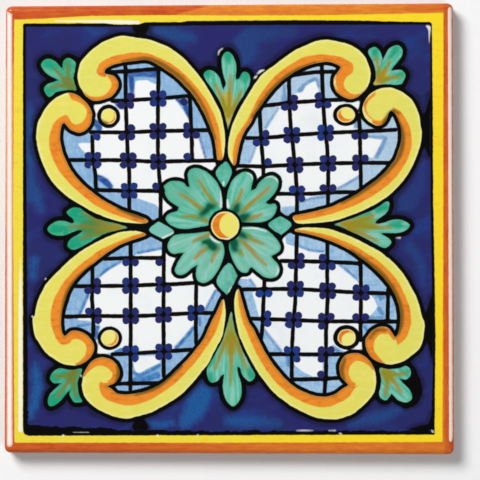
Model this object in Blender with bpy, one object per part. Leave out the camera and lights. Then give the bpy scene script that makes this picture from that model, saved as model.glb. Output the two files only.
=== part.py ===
"""A hand-painted ceramic wall tile: one fired slab with glaze-rounded upper edges, lying face up.

Metres, +Z up. The origin is the centre of the flat back, so the tile rests on z = 0.
"""

import math

import bmesh
import bpy

SIDE = 0.200
THICKNESS = 0.010
CORNER_RADIUS = 0.0028
TOP_EDGE_RADIUS = 0.0026
BACK_ARRIS_RADIUS = 0.0006

CORNER_SEGMENTS = 6
TOP_EDGE_SEGMENTS = 8
BACK_ARRIS_SEGMENTS = 2
ROUND_PROFILE = 0.5
SMOOTH_ANGLE = math.radians(30)

GLAZE_COLOUR = (0.05, 0.06, 0.24, 1.0)
GLAZE_ROUGHNESS = 0.12


def clear_scene():
    """Removes every object that the startup scene holds."""
    for obj in list(bpy.data.objects):
        bpy.data.objects.remove(obj)


def glaze_material():
    """The fired glaze, in the dark blue that covers most of the painted face."""
    material = bpy.data.materials.new("painted_glaze")
    material.use_nodes = True
    shader = material.node_tree.nodes["Principled BSDF"]
    shader.inputs["Base Color"].default_value = GLAZE_COLOUR
    shader.inputs["Roughness"].default_value = GLAZE_ROUGHNESS
    shader.inputs["Metallic"].default_value = 0.0
    return material


def upright_edges(bm):
    """The four corner edges, which run from the back to the face."""
    return [e for e in bm.edges if abs(e.verts[0].co.z - e.verts[1].co.z) > THICKNESS / 2]


def rim_edges(bm, height):
    """The loop of edges round the slab at this height."""
    return [e for e in bm.edges if all(abs(v.co.z - height) < 1e-6 for v in e.verts)]


def round_over(bm, edges, radius, segments):
    """Rounds these edges to an arc of this radius."""
    bmesh.ops.bevel(
        bm,
        geom=edges,
        offset=radius,
        segments=segments,
        profile=ROUND_PROFILE,
        affect="EDGES",
        clamp_overlap=False,
    )


def tile():
    """The slab: a square plate, first rounded at its corners, then along the face and the back."""
    bm = bmesh.new()
    bmesh.ops.create_cube(bm, size=1.0)
    bmesh.ops.scale(bm, vec=(SIDE, SIDE, THICKNESS), verts=bm.verts)
    bmesh.ops.translate(bm, vec=(0.0, 0.0, THICKNESS / 2), verts=bm.verts)
    round_over(bm, upright_edges(bm), CORNER_RADIUS, CORNER_SEGMENTS)
    round_over(bm, rim_edges(bm, THICKNESS), TOP_EDGE_RADIUS, TOP_EDGE_SEGMENTS)
    round_over(bm, rim_edges(bm, 0.0), BACK_ARRIS_RADIUS, BACK_ARRIS_SEGMENTS)
    mesh = bpy.data.meshes.new("tile")
    bm.to_mesh(mesh)
    bm.free()
    mesh.shade_smooth()
    mesh.set_sharp_from_angle(angle=SMOOTH_ANGLE)
    mesh.materials.append(glaze_material())
    obj = bpy.data.objects.new("tile", mesh)
    bpy.context.scene.collection.objects.link(obj)
    return obj


clear_scene()
tile()
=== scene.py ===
"""Hand-painted ceramic tile: a glazed slab with its scroll, leaf and rosette painting, on a pale studio floor."""

from __future__ import annotations

import logging
import math
from dataclasses import dataclass, field
from enum import Enum
from typing import Any, Mapping, Optional, Sequence, Union

import bpy
import numpy as np
from mathutils import Matrix, Vector


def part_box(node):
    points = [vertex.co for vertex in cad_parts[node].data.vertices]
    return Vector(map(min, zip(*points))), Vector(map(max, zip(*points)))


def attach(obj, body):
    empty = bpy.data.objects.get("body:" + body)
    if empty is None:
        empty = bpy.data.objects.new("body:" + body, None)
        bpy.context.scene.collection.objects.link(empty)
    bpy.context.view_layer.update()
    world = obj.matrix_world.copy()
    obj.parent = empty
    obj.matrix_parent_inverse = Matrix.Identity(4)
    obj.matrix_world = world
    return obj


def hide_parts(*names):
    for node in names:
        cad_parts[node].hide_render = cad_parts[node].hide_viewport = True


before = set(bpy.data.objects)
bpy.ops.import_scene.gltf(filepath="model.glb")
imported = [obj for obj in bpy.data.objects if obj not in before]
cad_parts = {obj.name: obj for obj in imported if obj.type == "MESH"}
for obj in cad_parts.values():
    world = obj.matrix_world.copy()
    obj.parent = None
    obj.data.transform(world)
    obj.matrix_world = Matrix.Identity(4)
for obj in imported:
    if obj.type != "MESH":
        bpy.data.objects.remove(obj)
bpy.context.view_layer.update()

LOG = logging.getLogger("tile")
MM = 0.001
Flat = tuple[float, ...]
Paint = tuple[float, float, float]


def linear(code: str) -> Paint:
    """Turn a display colour into the linear colour that a shader socket takes.

    Args:
        code: Six hexadecimal digits, red first.

    Returns:
        Linear red, green and blue.
    """
    shown = [int(code[i : i + 2], 16) / 255 for i in (0, 2, 4)]
    return tuple(v / 12.92 if v <= 0.04045 else ((v + 0.055) / 1.055) ** 2.4 for v in shown)


def pairs(flat: Sequence[float]) -> np.ndarray:
    """Return a flat run of x, y numbers as rows of two."""
    return np.array(flat, float).reshape(-1, 2)


class Quarter(Enum):
    """A quarter of the pattern, as the signs of its x and y."""

    TOP_LEFT = (-1.0, 1.0)
    TOP_RIGHT = (1.0, 1.0)
    BOTTOM_LEFT = (-1.0, -1.0)
    BOTTOM_RIGHT = (1.0, -1.0)

    def place(self, flat: Sequence[float]) -> np.ndarray:
        """Return points read outwards from the pattern's centre in this quarter as x, y of the pattern."""
        return pairs(flat) * np.array(self.value)


class Side(Enum):
    """Where a paint border lies."""

    UPPER = "upper"
    LOWER = "lower"
    FLANK = "flank"


class Signal:
    """A socket of a node tree that can be used in a Python expression."""

    def __init__(self, graph: "Graph", socket: bpy.types.NodeSocket) -> None:
        """Hold the socket and the graph that owns it."""
        self.graph = graph
        self.socket = socket

    @property
    def is_vector(self) -> bool:
        """Say whether the socket carries a vector."""
        return self.socket.type == "VECTOR"

    def __add__(self, other: "Value") -> "Signal":
        """Return the sum."""
        return self.graph.reckon("ADD", self, other)

    def __radd__(self, other: "Value") -> "Signal":
        """Return the sum."""
        return self.graph.reckon("ADD", other, self)

    def __sub__(self, other: "Value") -> "Signal":
        """Return the difference."""
        return self.graph.reckon("SUBTRACT", self, other)

    def __rsub__(self, other: "Value") -> "Signal":
        """Return the difference."""
        return self.graph.reckon("SUBTRACT", other, self)

    def __mul__(self, other: "Value") -> "Signal":
        """Return the product."""
        return self.graph.reckon("MULTIPLY", self, other)

    def __rmul__(self, other: "Value") -> "Signal":
        """Return the product."""
        return self.graph.reckon("MULTIPLY", other, self)

    def __truediv__(self, other: "Value") -> "Signal":
        """Return the quotient."""
        return self.graph.reckon("DIVIDE", self, other)

    def __rtruediv__(self, other: "Value") -> "Signal":
        """Return the quotient."""
        return self.graph.reckon("DIVIDE", other, self)

    def __neg__(self) -> "Signal":
        """Return the negative."""
        return self.graph.reckon("MULTIPLY", self, -1.0)

    def at_most(self, other: "Value") -> "Signal":
        """Return the smaller of the two."""
        return self.graph.reckon("MINIMUM", self, other)

    def at_least(self, other: "Value") -> "Signal":
        """Return the larger of the two."""
        return self.graph.reckon("MAXIMUM", self, other)

    def size(self) -> "Signal":
        """Return the absolute value."""
        return self.graph.reckon("ABSOLUTE", self)

    def unit(self) -> "Signal":
        """Return the value limited to 0 to 1."""
        return self.at_least(0.0).at_most(1.0)

    def length(self) -> "Signal":
        """Return the length of a vector."""
        node = self.graph.node("ShaderNodeVectorMath", {"operation": "LENGTH"}, {0: self})
        return Signal(self.graph, node.outputs["Value"])

    def parts(self) -> tuple["Signal", "Signal", "Signal"]:
        """Return the x, y and z of a vector."""
        node = self.graph.node("ShaderNodeSeparateXYZ", {}, {0: self})
        return tuple(Signal(self.graph, output) for output in node.outputs)


Value = Union[Signal, float, int, Sequence[float]]


class Graph:
    """Writes one node tree, shader or geometry, through Python expressions."""

    def __init__(self, tree: bpy.types.NodeTree) -> None:
        """Hold the tree that the nodes go into."""
        self.tree = tree

    def node(
        self,
        kind: str,
        settings: Optional[Mapping[str, Any]] = None,
        sockets: Optional[Mapping[Union[str, int], Any]] = None,
    ) -> bpy.types.Node:
        """Add a node.

        Args:
            kind: The node's type name.
            settings: Properties, set before the sockets.
            sockets: Input name or index, to a signal, a value or a list of signals.

        Returns:
            The new node.
        """
        made = self.tree.nodes.new(kind)
        for name, value in (settings or {}).items():
            setattr(made, name, value)
        for key, value in (sockets or {}).items():
            self.feed(made.inputs[key], value)
        return made

    def feed(self, socket: bpy.types.NodeSocket, value: Any) -> None:
        """Link a signal to an input, or set the input's own value.

        Args:
            socket: The input.
            value: A signal, a list of signals for a joining input, or a constant.
        """
        if isinstance(value, Signal):
            self.tree.links.new(value.socket, socket)
        elif isinstance(value, list):
            for one in value:
                self.tree.links.new(one.socket, socket)
        else:
            constant = tuple(value) + (1.0,) if socket.type == "RGBA" and len(value) == 3 else value
            socket.default_value = constant

    def out(self, kind: str, settings: Mapping[str, Any], sockets: Mapping[Union[str, int], Any], name: Union[str, int] = 0) -> Signal:
        """Add a node and return one of its outputs.

        Args:
            kind: The node's type name.
            settings: Properties of the node.
            sockets: Values and links of its inputs.
            name: Name or index of the output.

        Returns:
            The output as a signal.
        """
        return Signal(self, self.node(kind, settings, sockets).outputs[name])

    def reckon(self, operation: str, *values: Value) -> Signal:
        """Apply a Math node, or a Vector Math node when one of the values is a vector.

        Args:
            operation: The node's operation.
            values: Its inputs, in order.

        Returns:
            The result.
        """
        vectors = any(isinstance(v, (tuple, list)) or (isinstance(v, Signal) and v.is_vector) for v in values)
        kind = "ShaderNodeVectorMath" if vectors else "ShaderNodeMath"
        spread = [(v, v, v) if vectors and isinstance(v, (int, float)) else v for v in values]
        return self.out(kind, {"operation": operation}, dict(enumerate(spread)))

    def vector(self, x: Value = 0.0, y: Value = 0.0, z: Value = 0.0) -> Signal:
        """Return a vector made of three numbers."""
        return self.out("ShaderNodeCombineXYZ", {}, {0: x, 1: y, 2: z})

    def normalized(self, value: Signal) -> Signal:
        """Return the vector at length one."""
        return self.out("ShaderNodeVectorMath", {"operation": "NORMALIZE"}, {0: value})

    def remap(self, value: Value, low: float, high: float, start: float = 0.0, end: float = 1.0, smooth: bool = True) -> Signal:
        """Carry a value from one span to another, held at both ends.

        Args:
            value: The value.
            low: Where the first end is reached.
            high: Where the second end is reached.
            start: Result at the first end.
            end: Result at the second end.
            smooth: Whether the step is rounded.

        Returns:
            The carried value.
        """
        settings = {"interpolation_type": "SMOOTHSTEP" if smooth else "LINEAR", "clamp": True}
        if smooth and low > high:
            low, high, start, end = high, low, end, start
        return self.out("ShaderNodeMapRange", settings, {0: value, 1: low, 2: high, 3: start, 4: end})

    def noise(self, place: Signal, scale: float, detail: float = 2.0, rough: float = 0.5, w: Value = 0.0) -> Signal:
        """Return four-dimensional noise around one half.

        Args:
            place: Where it is looked up.
            scale: Cells in a unit of length.
            detail: Octaves.
            rough: Weight of the finer octaves.
            w: Fourth coordinate, which serves as the seed.

        Returns:
            The noise value.
        """
        sockets = {"Vector": place, "W": w, "Scale": scale, "Detail": detail, "Roughness": rough}
        return self.out("ShaderNodeTexNoise", {"noise_dimensions": "4D"}, sockets)

    def mix(self, share: Value, below: Union[Signal, Paint], above: Union[Signal, Paint]) -> Signal:
        """Lay one colour over another.

        Args:
            share: How much of the upper colour shows.
            below: The lower colour.
            above: The upper colour.

        Returns:
            The mixed colour.
        """
        made = self.node("ShaderNodeMix", {"data_type": "RGBA"}, {0: share, 6: below, 7: above})
        return Signal(self, made.outputs[2])


class Recipe:
    """A geometry tree with named inputs that ends in Realize Instances and Set Material."""

    def __init__(self, name: str) -> None:
        """Start an empty tree with a way in and a way out."""
        self.tree = bpy.data.node_groups.new(name, "GeometryNodeTree")
        self.graph = Graph(self.tree)
        self.tree.interface.new_socket(name="Geometry", in_out="OUTPUT", socket_type="NodeSocketGeometry")
        self.source = self.graph.node("NodeGroupInput")

    def input(self, name: str, kind: str = "Float") -> Signal:
        """Add a named input and return it.

        Args:
            name: The input's name.
            kind: Float, Int, Object, Material or Geometry.

        Returns:
            The input as a signal.
        """
        self.tree.interface.new_socket(name=name, in_out="INPUT", socket_type=f"NodeSocket{kind}")
        return Signal(self.graph, self.source.outputs[name])

    def close(self, made: Signal, material: Signal) -> None:
        """End the tree.

        Args:
            made: The geometry that was built.
            material: The material that all of it takes.
        """
        real = self.graph.out("GeometryNodeRealizeInstances", {}, {0: made})
        dressed = self.graph.out("GeometryNodeSetMaterial", {}, {0: real, "Material": material})
        self.graph.node("NodeGroupOutput", {}, {0: dressed})

    def run(self, piece: bpy.types.Object, values: Mapping[str, Any]) -> None:
        """Replace a piece's mesh with what the tree makes of it.

        Args:
            piece: The object, left without modifiers.
            values: Input name to value.
        """
        modifier = piece.modifiers.new(self.tree.name, "NODES")
        modifier.node_group = self.tree
        for item in self.tree.interface.items_tree:
            if item.in_out == "INPUT" and item.name in values:
                modifier[item.identifier] = values[item.name]
        graph = bpy.context.evaluated_depsgraph_get()
        mesh = bpy.data.meshes.new_from_object(piece.evaluated_get(graph), preserve_all_data_layers=True, depsgraph=graph)
        piece.modifiers.remove(modifier)
        mesh.name = piece.name
        piece.data = mesh


@dataclass
class Slab:
    """The fired body: a square of rings that runs over the rounded edge, down the wall and under the back."""

    low: tuple[float, float, float]
    high: tuple[float, float, float]
    top_round: float = 2.6 * MM
    back_round: float = 0.6 * MM
    corner_round: float = 2.8 * MM
    rim_inset: float = 0.5 * MM
    unevenness: float = 0.11 * MM
    rings: tuple[int, int, int, int, int] = (144, 5, 3, 2, 1)
    chart: float = 0.85
    seed: float = 5.0

    def recipe(self) -> Recipe:
        """Build the tree that bends a flat grid of rings into the slab.

        Returns:
            The tree, with an input for each size.
        """
        recipe = Recipe("slab")
        g = recipe.graph
        half, thick, top, back, corner, inset, uneven, seed = (
            recipe.input(name)
            for name in (
                "Half Side",
                "Thickness",
                "Top Round",
                "Back Round",
                "Corner Round",
                "Rim Inset",
                "Unevenness",
                "Seed",
            )
        )
        flat, edge, wall, arris, rim = (
            recipe.input(name, "Int") for name in ("Face Rings", "Edge Rings", "Wall Rings", "Arris Rings", "Rim Rings")
        )
        chart = recipe.input("Chart")
        material = recipe.input("Material", "Material")
        total = flat + edge + wall + arris + rim
        count = total * 2 + 1
        grid = g.out("GeometryNodeMeshGrid", {}, {0: 2.0, 1: 2.0, 2: count, 3: count})
        u, v, _ = g.out("GeometryNodeInputPosition", {}, {}).parts()
        reach = u.size().at_least(v.size())
        ring = reach * total
        over_face = (ring / flat).unit()
        over_edge = ((ring - flat) / edge).unit()
        down_wall = ((ring - flat - edge) / wall).unit()
        round_back = ((ring - flat - edge - wall) / arris).unit()
        under = ((ring - flat - edge - wall - arris) / rim).unit()
        quarter = math.pi / 2
        edge_out = g.reckon("SINE", over_edge * quarter)
        edge_down = 1 - g.reckon("COSINE", over_edge * quarter)
        back_in = 1 - g.reckon("COSINE", round_back * quarter)
        back_down = g.reckon("SINE", round_back * quarter)
        straight = thick - top - back
        radius = (half - top) * over_face + top * edge_out - back * back_in - inset * under
        height = thick - top * edge_down - straight * down_wall - back * back_down
        run = (half - top) * over_face + top * over_edge * quarter + straight * down_wall
        run = run + back * round_back * quarter + inset * under
        full = half - top + (top + back) * quarter + straight + inset
        turn = (corner - half + radius).at_least(1e-6) / radius.at_least(1e-6)
        square = g.vector(u, v) / reach.at_least(1e-4)
        core = square.at_least(turn - 1).at_most(1 - turn)
        outward = g.normalized(square - core)
        ground = (core + outward * turn) * radius
        sag = g.noise(ground, 26.0, 1.0, w=seed) * uneven * (1 - down_wall)
        pull = g.noise(ground + (0.0, 0.0, 0.4), 34.0, 1.0, w=seed) * uneven * edge_out * (1 - round_back)
        place = ground - outward * pull + g.vector(0.0, 0.0, height - sag)
        front_chart = (square * run / full + 1) * (chart * 0.5)
        sheet = {"data_type": "FLOAT2", "domain": "CORNER"}
        charted = g.out("GeometryNodeStoreNamedAttribute", sheet, {0: grid, "Name": "OFBake", "Value": front_chart})
        shell = g.out("GeometryNodeSetPosition", {}, {0: charted, "Position": place})
        open_edge = g.reckon("COMPARE", g.out("GeometryNodeInputMeshEdgeNeighbors", {}, {}), 1.0, 0.1)
        loop = g.out("GeometryNodeMeshToCurve", {}, {0: shell, "Selection": open_edge})
        lid = g.out("GeometryNodeFlipFaces", {}, {0: g.out("GeometryNodeFillCurve", {"mode": "NGONS"}, {0: loop})})
        here = g.out("GeometryNodeInputPosition", {}, {})
        back_chart = (here / half + 1) * ((0.985 - chart) * 0.5) + chart + 0.015
        lid = g.out("GeometryNodeStoreNamedAttribute", sheet, {0: lid, "Name": "OFBake", "Value": back_chart})
        whole = g.out("GeometryNodeJoinGeometry", {}, {0: [lid, shell]})
        whole = g.out("GeometryNodeMergeByDistance", {}, {0: whole, "Distance": 2e-5})
        whole = g.out("GeometryNodeTriangulate", {}, {0: whole})
        whole = g.out("GeometryNodeSetShadeSmooth", {}, {0: whole})
        recipe.close(whole, material)
        return recipe

    def build(self, material: bpy.types.Material) -> bpy.types.Object:
        """Make the slab as a plain mesh.

        Args:
            material: The glaze.

        Returns:
            The tile, at the origin, with its place in its mesh.
        """
        piece = bpy.data.objects.new("painted_tile", bpy.data.meshes.new("painted_tile"))
        bpy.context.scene.collection.objects.link(piece)
        names = ("Face Rings", "Edge Rings", "Wall Rings", "Arris Rings", "Rim Rings")
        sizes = {
            "Half Side": (self.high[0] - self.low[0]) / 2,
            "Thickness": self.high[2] - self.low[2],
            "Top Round": self.top_round,
            "Back Round": self.back_round,
            "Corner Round": self.corner_round,
            "Rim Inset": self.rim_inset,
            "Unevenness": self.unevenness,
            "Seed": self.seed,
            "Chart": self.chart,
            "Material": material,
        }
        self.recipe().run(piece, sizes | dict(zip(names, self.rings)))
        return piece


@dataclass
class Lattice:
    """The brown trellis lines and blue dabs of the four pale fields, carried onto the slab as distances."""

    rods: Sequence[np.ndarray]
    dabs: np.ndarray
    wander: float = 0.34
    seed: float = 3.0

    def recipe(self) -> Recipe:
        """Build the tree that stores each point's distance from the nearest rod and the nearest dab.

        Returns:
            The tree.
        """
        recipe = Recipe("lattice")
        g = recipe.graph
        body = recipe.input("Body", "Geometry")
        rods = recipe.input("Rods", "Object")
        dabs = recipe.input("Dabs", "Object")
        wander = recipe.input("Wander")
        seed = recipe.input("Seed")
        material = recipe.input("Material", "Material")
        flat = g.out("GeometryNodeInputPosition", {}, {}) * (1.0, 1.0, 0.0)
        settings = {"TRELLIS": ("EDGES", rods, 330.0, 0.6), "DAB": ("POINTS", dabs, 420.0, 1.5)}
        for name, (element, source, scale, share) in settings.items():
            shape = g.out("GeometryNodeObjectInfo", {"transform_space": "ORIGINAL"}, {0: source}, "Geometry")
            near = {"Target": shape, "Source Position": flat}
            made = g.node("GeometryNodeProximity", {"target_element": element}, {0: near["Target"], 2: near["Source Position"]})
            jitter = (g.noise(flat, scale, 1.0, w=seed) - 0.5) * wander * share * 2
            away = Signal(g, made.outputs["Distance"]) * 1000 + jitter
            stored = {0: body, "Name": name.lower(), "Value": away}
            body = g.out("GeometryNodeStoreNamedAttribute", {"data_type": "FLOAT", "domain": "POINT"}, stored)
        recipe.close(body, material)
        return recipe

    def helper(self, name: str, points: np.ndarray, edges: Sequence[tuple[int, int]]) -> bpy.types.Object:
        """Make a guide object from points in millimetres on the face.

        Args:
            name: Its name.
            points: Rows of x, y.
            edges: Pairs of rows.

        Returns:
            The guide.
        """
        mesh = bpy.data.meshes.new(name)
        mesh.from_pydata([(x * MM, y * MM, 0.0) for x, y in points], list(edges), [])
        guide = bpy.data.objects.new(name, mesh)
        bpy.context.scene.collection.objects.link(guide)
        return guide

    def lay(self, piece: bpy.types.Object, material: bpy.types.Material) -> None:
        """Store the lattice on the tile and take the guides away.

        Args:
            piece: The tile.
            material: The glaze.
        """
        edges: list[tuple[int, int]] = []
        start = 0
        for rod in self.rods:
            edges += [(start + i, start + i + 1) for i in range(len(rod) - 1)]
            start += len(rod)
        rods = self.helper("rods", np.vstack(self.rods), edges)
        dabs = self.helper("dabs", self.dabs, [])
        values = {"Rods": rods, "Dabs": dabs, "Wander": self.wander, "Seed": self.seed, "Material": material}
        self.recipe().run(piece, values)
        for guide in (rods, dabs):
            bpy.data.objects.remove(guide)


@dataclass(frozen=True)
class Scroll:
    """One curled scroll, read outwards from the pattern's centre in its own quarter, in millimetres.

    head runs over the arch and round the bulb to the notch, inner back along the hollow to the tail, and tail from
    the arch down the outer side. shade parts the orange hollow from the yellow, and curl is the crescent in the bulb,
    depth wide at most.
    """

    quarter: Quarter
    bulb: tuple[float, float]
    head: Flat
    inner: Flat
    tail: Flat
    shade: Flat
    curl: Flat
    depth: float = 6.0

    def outline(self) -> np.ndarray:
        """Return the closed outline, with a sharp corner in the notch."""
        flat = pairs(self.head + self.head[-2:] + self.inner)
        return np.vstack((flat, pairs(self.tail)[::-1])) * np.array(self.quarter.value)

    def hollow(self) -> np.ndarray:
        """Return the orange region, which spills over the inner edge that will clip it."""
        shade, inner = (rounded(pairs(line), closed=False) for line in (self.shade, self.inner))
        near = shade[np.argmin(np.linalg.norm(inner[:, None] - shade[None], axis=2), axis=1)]
        away = inner - near
        spilt = inner + 2.2 * away / np.maximum(np.linalg.norm(away, axis=1, keepdims=True), 0.1)
        return np.vstack((shade, spilt[::-1])) * np.array(self.quarter.value)

    def crescent(self) -> np.ndarray:
        """Return the orange crescent of the bulb, which spills over the outline that will clip it."""
        line = rounded(pairs(self.curl), closed=False)
        away = line - np.array(self.bulb)
        share = np.linspace(0.0, 1.0, len(line))
        push = self.depth * np.clip(7.0 * np.minimum(share, 1 - share), 0.0, 1.0)[:, None]
        spilt = line + push * away / np.maximum(np.linalg.norm(away, axis=1, keepdims=True), 0.1)
        return np.vstack((line, spilt[::-1])) * np.array(self.quarter.value)


@dataclass(frozen=True)
class Stroke:
    """A brush stroke: x, y and half width along its path, in millimetres."""

    path: Flat
    quarter: Optional[Quarter] = None

    def points(self) -> tuple[np.ndarray, np.ndarray]:
        """Return the path's points in the pattern and its half widths."""
        rows = np.array(self.path, float).reshape(-1, 3)
        signs = np.array(self.quarter.value) if self.quarter else np.ones(2)
        return rows[:, :2] * signs, rows[:, 2]


@dataclass(frozen=True)
class Leaf:
    """A leaf or petal group: its outline, then its veins; a point given twice is a sharp corner."""

    outline: Flat
    veins: tuple[Flat, ...] = ()
    quarter: Optional[Quarter] = None

    def signs(self) -> np.ndarray:
        """Return the signs that place it."""
        return np.array(self.quarter.value) if self.quarter else np.ones(2)


TL, TR, BL, BR = Quarter.TOP_LEFT, Quarter.TOP_RIGHT, Quarter.BOTTOM_LEFT, Quarter.BOTTOM_RIGHT

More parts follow.
